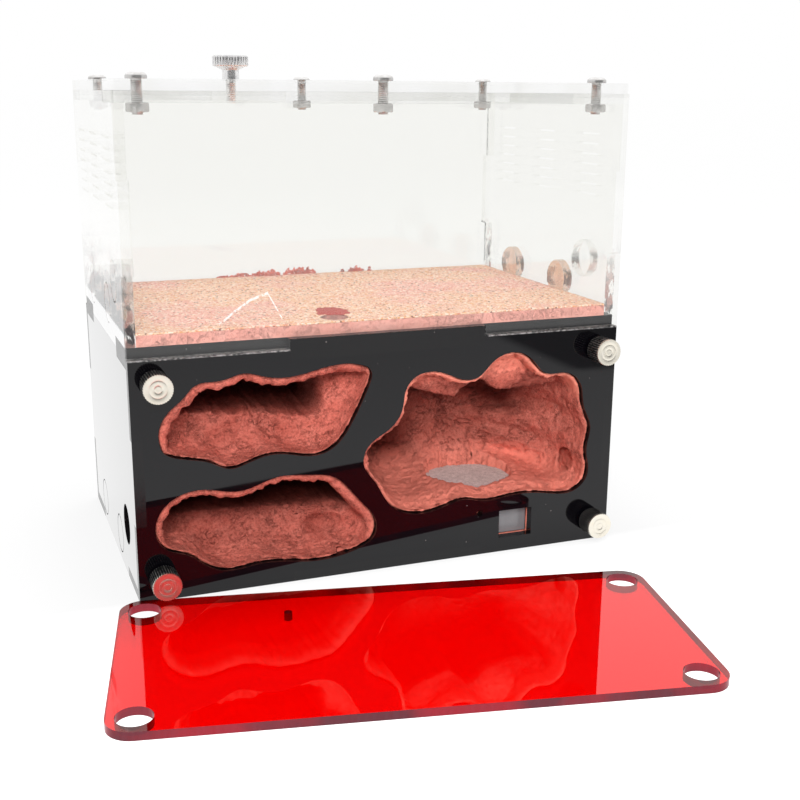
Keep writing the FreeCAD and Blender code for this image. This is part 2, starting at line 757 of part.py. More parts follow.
def feed_plug():
    foot = "(Sizes.seat_gap + Sizes.plug_foot_height)"
    neck = "(Sizes.seat_gap + Sizes.plug_neck_height)"
    cone = f"({neck} + Sizes.plug_cone_height)"
    top = f"({cone} + Sizes.plug_head_height)"
    rim = "Sizes.plug_head_radius - Sizes.peg_bevel"
    body = revolved("FeedPlug", [
        ("0", "-Sizes.plug_shank"),
        ("Sizes.bolt_radius", "-Sizes.plug_shank"),
        ("Sizes.bolt_radius", "Sizes.seat_gap"),
        ("Sizes.plug_foot_radius", "Sizes.seat_gap"),
        ("Sizes.plug_foot_radius", foot),
        ("Sizes.plug_neck_radius", foot),
        ("Sizes.plug_neck_radius", neck),
        (rim, cone),
        ("Sizes.plug_head_radius", cone),
        ("Sizes.plug_head_radius", f"{top} - Sizes.peg_bevel"),
        (rim, f"{top} - Sizes.peg_bevel"),
        (f"{rim} - Sizes.peg_bevel", top),
        ("0", top),
    ])
    knurl(body, "Sizes.plug_head_radius", "Sizes.plug_knurl_count")
    place(body, FLAT, from_left("Sizes.plug_x"), "0", f"{RIM_TOP} + Sizes.sheet")
    keep(body, "feed_plug")


def outworld_floor():
    body = plate("OutworldFloor")
    cut_circles(body, [ENTRANCE])
    place(body, FLAT, "0", "0", "Sizes.nest_height")
    keep(body, "outworld_floor")


def outworld_faces():
    for name, y in (("front", f"{FRONT} + Sizes.sheet"), ("back", "Sizes.box_depth / 2")):
        body = face_wall(f"Outworld{name.title()}", "Sizes.outworld_height")
        place(body, FACING_FRONT, "0", y, "Sizes.nest_height + Sizes.outworld_height / 2")
        keep(body, f"outworld_{name}_wall")


def cut_vents(body):
    sketch = sketch_in(body, "XY_Plane", "VentRow")
    top = above_middle("Sizes.slit_top_z", "Sizes.outworld_height")
    for column in (-1, 0, 1):
        middle = f"{column} * Sizes.slit_column_pitch"
        draw_rectangle(sketch, f"{middle} - Sizes.slit_length / 2", f"{top} - Sizes.slit_height / 2",
                       f"{middle} + Sizes.slit_length / 2", f"{top} + Sizes.slit_height / 2")
    row = cut_through(body, sketch)
    pattern = body.newObject("PartDesign::LinearPattern", "VentRows")
    pattern.Originals = [row]
    pattern.Direction = (sketch, ["V_Axis"])
    pattern.Reversed = True
    pattern.setExpression("Length", "Sizes.slit_pitch * (Sizes.slit_rows - 1)")
    pattern.setExpression("Occurrences", "Sizes.slit_rows")
    body.Tip = pattern
    doc.recompute()


def outworld_sides():
    for side, x in SIDES.items():
        body = side_wall(f"Outworld{side.title()}", "Sizes.outworld_height")
        cut_ports(body, OUTWORLD_PORTS, "Sizes.outworld_height")
        cut_vents(body)
        place(body, FACING_SIDE, x, "0", "Sizes.nest_height + Sizes.outworld_height / 2")
        keep(body, f"outworld_{side}_wall")
        for position, (y, z) in OUTWORLD_PORTS.items():
            port_disc(f"outworld_{side}_{position}_disc", side, y, f"Sizes.nest_height + {z}")


def outworld_rim():
    half_width = "(Sizes.box_width / 2 - Sizes.rim_width)"
    half_depth = "(Sizes.box_depth / 2 - Sizes.rim_width)"
    body = plate("Rim", ("-" + half_width, "-" + half_depth, half_width, half_depth))
    cut_circles(body, [(x, y, BOLT_HOLE) for x, y in screw_spots().values()])
    place(body, FLAT, "0", "0", f"{RIM_TOP} - Sizes.sheet")
    keep(body, "outworld_rim")


def floor_filling():
    layers = [
        ("PlasterFloor", "plaster_floor", "Sizes.floor_slab", FLOOR_TOP),
        ("SandLayer", "sand_layer", "Sizes.sand", SLAB_TOP),
    ]
    for name, label, thickness, z in layers:
        body = flat_sheet(name, INNER_WIDTH, INNER_DEPTH, thickness)
        cut_circles(body, [ENTRANCE])
        place(body, FLAT, "0", "0", z)
        keep(body, label)


def round_corners(body, radius):
    base = body.Tip
    feature = body.newObject("PartDesign::Fillet", "Corners")
    upright = []
    for number, edge in enumerate(base.Shape.Edges, start=1):
        if abs(edge.tangentAt(edge.FirstParameter).z) > 0.99:
            upright.append(f"Edge{number}")
    feature.Base = (base, upright)
    feature.setExpression("Radius", radius)
    body.Tip = feature
    doc.recompute()


def lid():
    body = flat_sheet("Lid", "Sizes.box_width", "Sizes.box_depth")
    round_corners(body, "Sizes.lid_corner")
    holes = [(x, y, BOLT_HOLE) for x, y in screw_spots().values()]
    holes.append((from_left("Sizes.plug_x"), "0", BOLT_HOLE))
    cut_circles(body, holes)
    place(body, FLAT, "0", "0", RIM_TOP)
    keep(body, "lid")


def lid_fasteners():
    for corner, (x, y) in screw_spots().items():
        lid_screw(f"{corner}_screw", x, y)
        nut(f"{corner}_nut", FLAT, x, y, f"{RIM_TOP} - Sizes.sheet - Sizes.nut_height")


# Red cover: as large as the nest's front, drilled to slip over the pegs, laid flat at an angle with
# its nearest corner a small gap in front of the nest. Turned end for end and hung on the pegs, it has
# its small hole over the filling hole.
def red_cover():
    body = flat_sheet("Cover", "Sizes.box_width", "Sizes.nest_height", "Sizes.cover_sheet")
    round_corners(body, "Sizes.cover_corner")
    x = from_right("Sizes.peg_inset")
    y = f"({PEG_SPACING} / 2)"
    holes = [(side + x, end + y, "Sizes.cover_hole_radius") for side in ("", "-") for end in ("", "-")]
    holes.append(("-" + from_right("Sizes.filling_hole_inset"),
                  f"(Sizes.nest_height / 2 - {FILLING_HEIGHT})", "Sizes.cover_small_hole_radius"))
    cut_circles(body, holes)
    turn = size("cover_turn")
    cosine = f"{math.cos(math.radians(turn)):.7f}"
    sine = f"{math.sin(math.radians(turn)):.7f}"
    half_width = "Sizes.box_width / 2"
    half_depth = "Sizes.nest_height / 2"
    middle_x = f"{LEFT} - Sizes.cover_overhang + {half_width} * {cosine} - {half_depth} * {sine}"
    middle_y = f"{FRONT} - Sizes.cover_gap - {half_width} * {sine} - {half_depth} * {cosine}"
    place(body, Rotation(Vector(0, 0, 1), -turn), middle_x, middle_y, "0")
    keep(body, "red_cover")


def check():
    doc.recompute()
    for item in doc.Objects:
        if {"Invalid", "Error"} & set(item.State):
            raise RuntimeError(f"{item.Name} ({item.Label}) failed: {item.State}")
    for item in nodes:
        if item.Shape.isNull() or not item.Shape.isValid() or not item.Shape.Solids:
            raise RuntimeError(f"{item.Label} has no valid solid")
    labels = [item.Label for item in nodes]
    if len(set(labels)) != len(labels):
        raise RuntimeError("two sub-parts share a label")


def export():
    os.makedirs("parts", exist_ok=True)
    for item in nodes:
        item.Shape.exportStep(os.path.join("parts", item.Label + ".step"))
    print(len(nodes), "sub-parts written")


nest_front_panel()
nest_back_panel()
nest_sides()
nest_plates()
plaster_block()
water_tray()
water_mesh()
pegs()
outworld_floor()
outworld_faces()
outworld_sides()
outworld_rim()
floor_filling()
lid()
lid_fasteners()
feed_plug()
red_cover()
check()
export()
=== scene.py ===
# Two-storey ant habitat: a black nest box with carved plaster chambers, a clear lidded
# outworld on top, knurled pegs and a loose red cover. Lengths in the dictionaries are in mm.
import math
from functools import partial

import bmesh
import bpy
import numpy as np
from mathutils import Matrix, Vector, noise


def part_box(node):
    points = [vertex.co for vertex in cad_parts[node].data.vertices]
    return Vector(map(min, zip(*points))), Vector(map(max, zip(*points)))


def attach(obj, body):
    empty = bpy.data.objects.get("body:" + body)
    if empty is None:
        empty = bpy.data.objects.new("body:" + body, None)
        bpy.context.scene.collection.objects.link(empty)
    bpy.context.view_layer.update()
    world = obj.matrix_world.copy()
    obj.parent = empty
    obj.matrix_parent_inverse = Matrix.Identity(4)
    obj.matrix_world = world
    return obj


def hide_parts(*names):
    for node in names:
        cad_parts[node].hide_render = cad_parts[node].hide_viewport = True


bpy.context.scene.view_settings.view_transform = "Standard"
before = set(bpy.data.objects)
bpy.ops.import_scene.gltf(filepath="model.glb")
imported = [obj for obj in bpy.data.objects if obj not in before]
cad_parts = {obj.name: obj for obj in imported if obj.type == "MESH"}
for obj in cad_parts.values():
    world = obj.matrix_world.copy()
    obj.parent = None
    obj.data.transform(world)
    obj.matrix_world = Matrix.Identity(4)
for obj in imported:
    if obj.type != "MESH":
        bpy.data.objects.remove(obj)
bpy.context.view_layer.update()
mm = 0.001
turn = 2 * math.pi


def linear(code):  # an sRGB hex colour as linear RGBA
    channels = [int(code[i:i + 2], 16) / 255 for i in (1, 3, 5)]
    return tuple(c / 12.92 if c <= 0.04045 else ((c + 0.055) / 1.055) ** 2.4 for c in channels) + (1.0,)


# Adds a node with its settings and gives its first output in use. Its inputs in use get their values or
# links in order, or by name where a dict comes first.
def addNode(tree, kind, *values, **settings):
    node = tree.nodes.new(kind)
    for name, value in settings.items():
        setattr(node, name, value)
    if values and isinstance(values[0], dict):
        given = [(node.inputs[key], value) for key, value in values[0].items()]
    else:
        given = list(zip([socket for socket in node.inputs if socket.enabled], values))
    for socket, value in given:
        for one in value if isinstance(value, list) else [value]:
            if isinstance(one, bpy.types.NodeSocket):
                tree.links.new(one, socket)
            else:
                socket.default_value = one
    return next((socket for socket in node.outputs if socket.enabled), None)


# An empty material, the function that adds its nodes, the place on the object, and its x, y and z.
def newMaterial(name):
    material = bpy.data.materials.new(name)
    material.use_nodes = True
    material.node_tree.nodes.clear()
    add = partial(addNode, material.node_tree)
    place = add("ShaderNodeTexCoord").node.outputs["Object"]
    return material, add, place, dict(zip("xyz", add("ShaderNodeSeparateXYZ", place).node.outputs))


def perSize(size):  # a texture's scale for blotches or cells of this many mm
    return 1 / (size * mm)


# How far a spot lies within a region: the product of ramps, each with an axis, the place where it starts
# and the place where it is full, and its two ends if they aren't 0 and 1.
def within(add, spot, *ramps):
    share = 1.0
    for axis, start, full, *ends in ramps:
        ramp = add("ShaderNodeMapRange", spot[axis], start * mm, full * mm, *ends)
        share = add("ShaderNodeMath", share, ramp, operation="MULTIPLY")
    return share


# 1 on a sheet's cut edges and 0 on its two faces, which lie across the axis.
def cutEdges(add, across):
    normal = add("ShaderNodeNewGeometry").node.outputs["True Normal"]
    facing = add("ShaderNodeVectorMath", normal, across, operation="DOT_PRODUCT")
    facing = add("ShaderNodeMath", facing, operation="ABSOLUTE")
    return add("ShaderNodeMapRange", facing, 0.5, 0.8, 1.0, 0.0)


# Dust: one soft speck in each cell, and none in most cells.
def dustSpecks(add, place, size, radius, chosen):
    cells = add("ShaderNodeTexVoronoi", place, perSize(size)).node.outputs
    speck = add("ShaderNodeMapRange", cells["Distance"], *radius, 1.0, 0.0)
    few = add("ShaderNodeMapRange", add("ShaderNodeSeparateColor", cells["Color"]), *chosen)
    return add("ShaderNodeMath", speck, few, operation="MULTIPLY")


def meshObject(name, vertices, faces, smooth=True):
    mesh = bpy.data.meshes.new(name)
    mesh.from_pydata([tuple(v) for v in vertices], [], [tuple(f) for f in faces])
    mesh.polygons.foreach_set("use_smooth", [smooth] * len(mesh.polygons))
    piece = bpy.data.objects.new(name, mesh)
    bpy.context.scene.collection.objects.link(piece)
    return piece


def finishPiece(piece, body, material, slot, *nodes):
    piece.data.materials.clear()
    piece.data.materials.append(material)
    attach(piece, body)
    if nodes:
        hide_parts(*nodes)


def dress(material, *nodes):
    for node in nodes:
        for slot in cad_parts[node].material_slots:
            slot.material = material


def middle(node):
    low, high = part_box(node)
    return (Vector(low) + Vector(high)) / 2


# A painted highlight, a light grey line with gaps, along the joint at the top of the front panel outside its
# middle finger; it stands in for the joint's glint.
jointHighlight = {"height": 92.8, "core": 0.18, "width": 0.45, "left": -40.2, "right": 41.2, "end": 0.5}


# Cast black acrylic has a deep, mirror-like gloss with specks of dust and faint rubs; its cut edges are
# duller. A jointed panel also gets a painted highlight along its top joint.
def castAcrylic(name, colour, across, coat=0.0, jointed=False):
    material, add, place, spot = newMaterial(name)
    dust = dustSpecks(add, place, 2.6, (0.04, 0.1), (0.93, 0.96))
    smears = add("ShaderNodeTexNoise", place, perSize(35), 4, 0.55)
    cut = cutEdges(add, across)
    base = add("ShaderNodeMix", smears, linear(colour), linear("#08070b"), data_type="RGBA")
    base = add("ShaderNodeMix", cut, base, linear("#0c0b0d"), data_type="RGBA")
    base = add("ShaderNodeMix", dust, base, linear("#8d8683"), data_type="RGBA")
    if jointed:
        # Painted highlight: a light grey line along the top joint stands in for its glint, and roughens the
        # gloss there.
        joint = jointHighlight
        band = within(add, spot, ("z", joint["height"] - joint["width"], joint["height"] - joint["core"]),
                      ("z", joint["height"] + joint["width"], joint["height"] + joint["core"]))
        left = within(add, spot, ("x", joint["left"] + joint["end"], joint["left"]))
        right = within(add, spot, ("x", joint["right"], joint["right"] + joint["end"]))
        band = add("ShaderNodeMath", band, add("ShaderNodeMath", left, right, operation="MAXIMUM"),
                   operation="MULTIPLY")
        jointGlint = add("ShaderNodeTexNoise", place, perSize(1.1), 3, 0.55)
        jointGlint = add("ShaderNodeMapRange", jointGlint, 0.4, 0.66, 0.1, 0.85)
        jointGlint = add("ShaderNodeMath", band, jointGlint, operation="MULTIPLY")
        base = add("ShaderNodeMix", jointGlint, base, linear("#a5a2a1"), data_type="RGBA")
        dust = add("ShaderNodeMath", dust, jointGlint, operation="MAXIMUM")
    rubs = add("ShaderNodeMapping", {"Vector": place, "Scale": (0.06, 1, 1)})
    rubs = add("ShaderNodeTexNoise", rubs, perSize(0.7), 2, 0.55)
    rubs = add("ShaderNodeMapRange", rubs, 0.62, 0.8, 0.0, 0.05)
    rough = add("ShaderNodeMapRange", smears, 0.3, 0.75, 0.015, 0.05)
    rough = add("ShaderNodeMath", rough, rubs, operation="ADD")
    rough = add("ShaderNodeMath", cut, 0.16, rough, operation="MULTIPLY_ADD")
    rough = add("ShaderNodeMath", dust, 0.6, rough, operation="MULTIPLY_ADD")
    ripple = add("ShaderNodeMapping", {"Vector": place, "Scale": (1, 1, 0.2)})
    ripple = add("ShaderNodeTexNoise", ripple, perSize(1.2), 2, 0.55)
    strength = add("ShaderNodeMath", cut, 0.5, operation="MULTIPLY")
    bump = add("ShaderNodeBump", {"Strength": strength, "Distance": 0.15 * mm, "Height": ripple})
    if coat:
        coat = add("ShaderNodeMath", coat, cut, operation="SUBTRACT")
    shader = add("ShaderNodeBsdfPrincipled", {"Base Color": base, "Roughness": rough, "Normal": bump,
                                              "IOR": 1.4, "Coat Weight": coat, "Coat Roughness": 0.02})
    add("ShaderNodeOutputMaterial", shader)
    return material


# Glue lines where the rear corner's fingers meet: across and back, then the heights they run between.
seam = {"from": 95.5, "to": 96.8, "back": 58.5, "edge": 0.1, "fade": 1.0, "runs": ((103, 124), (156, 180))}
# Dried drips on the front wall, as shares of the way from left to right and from low to high.
drips = {"left": -66.6, "right": -43.0, "low": 104.1, "high": 114.8, "width": 0.4, "outside": (-62.5, -62.0),
         "path": ((0.0, 0.0), (0.26, 0.44), (0.5, 0.79), (0.78, 1.0), (1.0, 0.1))}


def glueLines(add, place, spot):
    edge, fade = seam["edge"], seam["fade"]
    across = within(add, spot, ("x", seam["from"], seam["from"] + edge), ("x", seam["to"], seam["to"] - edge),
                    ("y", seam["back"], seam["back"] + edge))
    runs = []
    for start, stop in seam["runs"]:
        runs.append(within(add, spot, ("z", start, start + fade), ("z", stop, stop - fade)))
    glue = add("ShaderNodeMath", *runs, operation="MAXIMUM")
    glue = add("ShaderNodeMath", glue, across, operation="MULTIPLY")
    broken = add("ShaderNodeTexNoise", place, perSize(1.6), 2, 0.55)
    broken = add("ShaderNodeMapRange", broken, 0.4, 0.55, 0.25, 0.85)
    return add("ShaderNodeMath", glue, broken, operation="MULTIPLY")


def driedDrips(add, place, spot):
    along = add("ShaderNodeMapRange", spot["x"], drips["left"] * mm, drips["right"] * mm)
    height = add("ShaderNodeFloatCurve", {"Value": along})
    line = height.node.mapping.curves[0]
    line.points[0].location, line.points[1].location = drips["path"][0], drips["path"][-1]
    for point in drips["path"][1:-1]:
        line.points.new(*point)
    for point in line.points:
        point.handle_type = "VECTOR"
    height.node.mapping.update()
    height = add("ShaderNodeMapRange", height, 0.0, 1.0, drips["low"] * mm, drips["high"] * mm)
    apart = add("ShaderNodeMath", add("ShaderNodeMath", spot["z"], height, operation="SUBTRACT"),
                operation="ABSOLUTE")
    drip = within(add, {"apart": apart, **spot}, ("apart", drips["width"] * 1.5, drips["width"], 0.0, 0.75),
                  ("x", drips["left"], drips["left"] + 0.1), ("x", drips["right"], drips["right"] - 0.1),
                  ("y", drips["outside"][1], drips["outside"][0]))
    broken = add("ShaderNodeTexNoise", place, perSize(1.4), 3, 0.55)
    broken = add("ShaderNodeMapRange", broken, 0.38, 0.5)
    return add("ShaderNodeMath", drip, broken, operation="MULTIPLY")


# Polished acrylic sheet mirrors more the flatter it is seen, and its laser-cut edges are cloudier. A side
# wall's level slit edges stay clear, the lower parts of its other cut edges carry painted refraction in dark
# and sand-pink patches, and its foot and rear corner show glue.
def sheetAcrylic(name, across, through, edge, edgeDark, edgeCover, film=0.012, sideWall=False, dripped=False):
    material, add, place, spot = newMaterial(name)
    cut = cutEdges(add, across)
    if sideWall:
        normal = add("ShaderNodeNewGeometry").node.outputs["True Normal"]
        upward = add("ShaderNodeSeparateXYZ", normal).node.outputs["Z"]
        level = add("ShaderNodeMath", upward, operation="ABSOLUTE")
        level = add("ShaderNodeMapRange", level, 0.5, 0.8, 1.0, 0.12)
        cut = add("ShaderNodeMath", cut, level, operation="MULTIPLY")
    edgeTint = add("ShaderNodeTexNoise", place, perSize(30), 2, 0.55)
    edgeTint = add("ShaderNodeMapRange", edgeTint, 0.4, 0.6)
    edgeTint = add("ShaderNodeMix", edgeTint, linear(edge), linear(edgeDark), data_type="RGBA")
    base = add("ShaderNodeMix", cut, (1, 1, 1, 1), edgeTint, data_type="RGBA")
    haze = add("ShaderNodeTexNoise", place, perSize(22), 3, 0.55)
    haze = add("ShaderNodeMapRange", haze, 0.35, 0.8, 0.01, 0.03)
    rough = add("ShaderNodeMath", cut, 0.12, haze, operation="MULTIPLY_ADD")
    mirror = add("ShaderNodeLayerWeight", 0.5).node.outputs["Facing"]
    mirror = add("ShaderNodeMath", mirror, 5.0, operation="POWER")
    mirror = add("ShaderNodeMath", mirror, 0.94, 0.04, operation="MULTIPLY_ADD")
    onFace = add("ShaderNodeMath", cut, -0.65, 1.0, operation="MULTIPLY_ADD")
    mirror = add("ShaderNodeMath", mirror, onFace, operation="MULTIPLY")
    dust = dustSpecks(add, place, 2.2, (0.05, 0.09), (0.9, 0.93))
    dust = add("ShaderNodeMath", dust, 0.25, film, operation="MULTIPLY_ADD")
    bands = add("ShaderNodeMapping", {"Vector": place, "Scale": (1, 1, 0.15)})
    bands = add("ShaderNodeTexNoise", bands, perSize(1.5), 2, 0.55)
    bands = add("ShaderNodeMapRange", bands, 0.3, 0.7, edgeCover * 0.8, edgeCover)
    edges = add("ShaderNodeMath", cut, bands, operation="MULTIPLY")
    if sideWall:
        # Painted refraction: dark and sand-pink patches low on the cut edges, standing in for what is seen
        # through them.
        streaks = add("ShaderNodeMapping", {"Vector": place, "Scale": (1, 1, 0.4)})
        streaks = add("ShaderNodeTexNoise", streaks, perSize(2.2), 3, 0.55)
        streaks = add("ShaderNodeMapRange", streaks, 0.42, 0.52)
        paintedEdgeRefraction = add("ShaderNodeMath", cut, within(add, spot, ("z", 132, 108)), operation="MULTIPLY")
        paintedEdgeRefraction = add("ShaderNodeMath", paintedEdgeRefraction, streaks, operation="MULTIPLY")
        cover = add("ShaderNodeMath", paintedEdgeRefraction, 0.75, operation="MULTIPLY")
        edges = add("ShaderNodeMath", edges, cover, operation="MAXIMUM")
        refractionColour = add("ShaderNodeTexNoise", place, perSize(5), 1, 0.55)
        refractionColour = add("ShaderNodeMapRange", refractionColour, 0.45, 0.55)
        refractionColour = add("ShaderNodeMix", refractionColour, linear("#3c3436"), linear("#b58a82"), data_type="RGBA")
        base = add("ShaderNodeMix", paintedEdgeRefraction, base, refractionColour, data_type="RGBA")
    share = add("ShaderNodeMath", mirror, dust, operation="ADD")
    share = add("ShaderNodeMath", share, edges, operation="ADD")
    if sideWall:
        share = add("ShaderNodeMath", share, level, operation="MULTIPLY")
        foot = within(add, spot, ("z", 103.5, 101.5, 0.0, 0.9), ("x", -80, -90))
        share = add("ShaderNodeMath", share, foot, operation="MAXIMUM")
        glue = glueLines(add, place, spot)
        glued = add("ShaderNodeMath", glue, 0.01, operation="GREATER_THAN")
        base = add("ShaderNodeMix", glued, base, linear("#1b191b"), data_type="RGBA")
        share = add("ShaderNodeMath", share, glue, operation="MAXIMUM")
    if dripped:
        share = add("ShaderNodeMath", share, driedDrips(add, place, spot), operation="MAXIMUM")
    share = add("ShaderNodeClamp", share)
    clear = add("ShaderNodeMix", cut, linear(through), edgeTint, data_type="RGBA")
    clear = add("ShaderNodeBsdfTransparent", clear)
    shader = add("ShaderNodeBsdfPrincipled", {"Base Color": base, "Roughness": rough, "Metallic": 1.0})
    add("ShaderNodeOutputMaterial", add("ShaderNodeMixShader", share, clear, shader))
    return material


# Painted shade and painted light in the carved chambers: each a colour and the regions where it lies, which
# start with its share there. The left chambers lie left of x -9 and the right one right of x -5; lean is a
# height that rises to the right.
paintedChamberShadeAndLight = (
    # painted shade deep in the left chambers, then in the lower one's recess under its lip
    ("#3d120f", ((0.62, ("x", -5, -9), ("y", -49, -32)),)),
    ("#4a1611", ((0.7, ("x", -5, -9), ("y", -50, -43), ("z", 19.5, 24.5), ("z", 47, 44)),)),
    # painted shade under the right chamber's ceiling lobes, beside them and on its back wall
    ("#54160f", ((0.92, ("x", -9, -5), ("y", -53, -45), ("lean", 49, 62), ("x", 72, 80, 1.0, 0.1)),
                 (0.9, ("x", -9, -5), ("y", -53, -42), ("x", 44, 20)),
                 (0.36, ("x", -9, -5), ("y", -40, -18), ("z", 27, 36)))),
    # painted light on the fronts of the lobes, then on the right chamber's floor
    ("#ff9a84", ((1.0, ("x", -9, -5), ("y", -50.5, -54.5), ("z", 62, 67)),)),
    ("#ff9480", ((0.75, ("x", -9, -5), ("z", 36, 27)),)),
)


# Coarse cracks and hair cracks: size of the cells between them and the cracks' width in cells, the
# blotches where they show, and their share.
plasterCracks = ((9, 0.035, 8, (0.48, 0.6), 1.0), (3.6, 0.06, 2.4, (0.56, 0.64), 0.8))
# The layers of its relief: size, detail, roughness and share of the height.
plasterGrain = ((0.9, 4, 0.7, 0.6), (3.5, 3, 0.55, 1.2), (0.4, 2, 0.8, 0.35))


# Red-tinted casting plaster, carved when half dry, is matt, porous and mottled, with fine dark cracks.
# Inside the nest, its chambers carry painted shade in the recesses and painted light on the right chamber's
# lobes and floor.
def castPlaster(name, light, dark, veins, pitted=0.6):
    material, add, place, spot = newMaterial(name)
    patches = add("ShaderNodeTexNoise", place, perSize(9), 5, 0.65)
    patches = add("ShaderNodeMapRange", patches, 0.36, 0.66)
    base = add("ShaderNodeMix", patches, linear(dark), linear(light), data_type="RGBA")
    pores = add("ShaderNodeTexNoise", place, perSize(0.9), 3, 0.75)
    pores = add("ShaderNodeMapRange", pores, 0.34, 0.56, pitted, 0.0)
    base = add("ShaderNodeMix", pores, base, linear("#9a463a"), data_type="RGBA")
    pale = add("ShaderNodeTexNoise", place, perSize(1.3), 2, 0.7)
    pale = add("ShaderNodeMapRange", pale, 0.6, 0.75, 0.0, 0.3)
    base = add("ShaderNodeMix", pale, base, linear("#f0a897"), data_type="RGBA")
    bent = add("ShaderNodeTexNoise", place, perSize(5.88)).node.outputs["Color"]
    bent = add("ShaderNodeMix", 0.04, place, bent, data_type="RGBA", blend_type="LINEAR_LIGHT")
    crack = 0.0
    for size, width, blotch, here, share in plasterCracks:
        line = add("ShaderNodeTexVoronoi", bent, perSize(size), feature="DISTANCE_TO_EDGE")
        line = add("ShaderNodeMapRange", line, 0.0, width, share, 0.0)
        blotches = add("ShaderNodeTexNoise", place, perSize(blotch), 2, 0.55)
        blotches = add("ShaderNodeMapRange", blotches, *here)
        line = add("ShaderNodeMath", line, blotches, operation="MULTIPLY")
        crack = add("ShaderNodeMath", crack, line, operation="MAXIMUM")
    veined = add("ShaderNodeMath", crack, veins, operation="MULTIPLY")
    base = add("ShaderNodeMix", veined, base, linear("#5e211a"), data_type="RGBA")
    nest = within(add, spot, ("z", 92, 90))
    left = add("ShaderNodeMath", nest, within(add, spot, ("x", -5, -9)), operation="MULTIPLY")
    base = add("ShaderNodeMix", left, base, linear("#f8f0f0"), data_type="RGBA", blend_type="MULTIPLY")
    lean = add("ShaderNodeMath", add("ShaderNodeMath", spot["x"], 0.045, operation="SUBTRACT"), 0.0,
               operation="MAXIMUM")
    spot["lean"] = add("ShaderNodeMath", lean, 0.35, spot["z"], operation="MULTIPLY_ADD")
    # Painted shade and painted light, in the nest only.
    for colour, regions in paintedChamberShadeAndLight:
        shade = 0.0
        for share, *ramps in regions:
            part = add("ShaderNodeMath", within(add, spot, *ramps), share, operation="MULTIPLY")
            shade = add("ShaderNodeMath", shade, part, operation="MAXIMUM")
        shade = add("ShaderNodeMath", shade, nest, operation="MULTIPLY")
        base = add("ShaderNodeMix", shade, base, linear(colour), data_type="RGBA")
    grain = 0.0
    for size, detail, roughness, share in plasterGrain:
        layer = add("ShaderNodeTexNoise", place, perSize(size), detail, roughness)
        grain = add("ShaderNodeMath", layer, share, grain, operation="MULTIPLY_ADD")
    grain = add("ShaderNodeMath", crack, -0.9, grain, operation="MULTIPLY_ADD")
    bump = add("ShaderNodeBump", {"Strength": 0.9, "Distance": 1.1 * mm, "Height": grain})
    shader = add("ShaderNodeBsdfPrincipled", {"Base Color": base, "Roughness": 0.92, "Normal": bump,
                                              "Specular IOR Level": 0.25})
    add("ShaderNodeOutputMaterial", shader)
    return material


# Where wet plaster came up round the way down: the centre's height and the distances are cut short by the
# scale.
wetPatch = {"scale": (1.0, 0.75, 0.0), "centre": (-0.016, -0.0287, 0.0), "inner": 6.2, "outer": 6.8,
            "ragged": 3.0}
# Single grains by chance: which of a grain's three random numbers, from where to where, the share and the
# colour.
oddGrains = ((0, 0.6, 0.64, 0.85, "#f9e2d2"), (2, 0.8, 0.84, 0.8, "#dc8d74"),
             (0, 0.96, 0.965, 0.9, "#75483a"))


# Fine dry sand: single grains of pale, orange and brown quartz, drawn 0.75 mm across so that they show.
def looseSand(name):
    material, add, place, spot = newMaterial(name)
    grains = add("ShaderNodeTexVoronoi", place, perSize(0.75)).node.outputs
    chance = add("ShaderNodeSeparateColor", grains["Color"]).node.outputs
    thin = add("ShaderNodeTexNoise", place, perSize(38), 3, 0.55)
    thin = add("ShaderNodeMapRange", thin, 0.47, 0.6)
    base = add("ShaderNodeMix", thin, linear("#efc6a8"), linear("#edafa2"), data_type="RGBA")
    gold = add("ShaderNodeMath", add("ShaderNodeMapRange", chance[1], 0.62, 0.66),
               add("ShaderNodeMapRange", thin, 0.0, 1.0, 1.0, 0.4), operation="MULTIPLY")
    base = add("ShaderNodeMix", gold, base, linear("#e9ae7c"), data_type="RGBA")
    for number, start, full, share, colour in oddGrains:
        odd = add("ShaderNodeMapRange", chance[number], start, full, 0.0, share)
        base = add("ShaderNodeMix", odd, base, linear(colour), data_type="RGBA")
    flat = add("ShaderNodeVectorMath", place, wetPatch["scale"], operation="MULTIPLY")
    away = add("ShaderNodeVectorMath", flat, wetPatch["centre"], operation="DISTANCE")
    ragged = add("ShaderNodeTexNoise", place, perSize(3), 4, 0.55)
    ragged = add("ShaderNodeMapRange", ragged, 0.2, 0.8, -wetPatch["ragged"] * mm, wetPatch["ragged"] * mm)
    wet = add("ShaderNodeMath", away, ragged, operation="ADD")
    wet = add("ShaderNodeMapRange", wet, wetPatch["inner"] * mm, wetPatch["outer"] * mm, 1.0, 0.0)
    base = add("ShaderNodeMix", wet, base, linear("#b2463b"), data_type="RGBA")
    height = add("ShaderNodeMath", 1.0, grains["Distance"], operation="SUBTRACT")
    bump = add("ShaderNodeBump", {"Strength": 0.9, "Distance": 0.35 * mm, "Height": height})
    shader = add("ShaderNodeBsdfPrincipled", {"Base Color": base, "Roughness": 0.85, "Normal": bump})
    add("ShaderNodeOutputMaterial", shader)
    return material


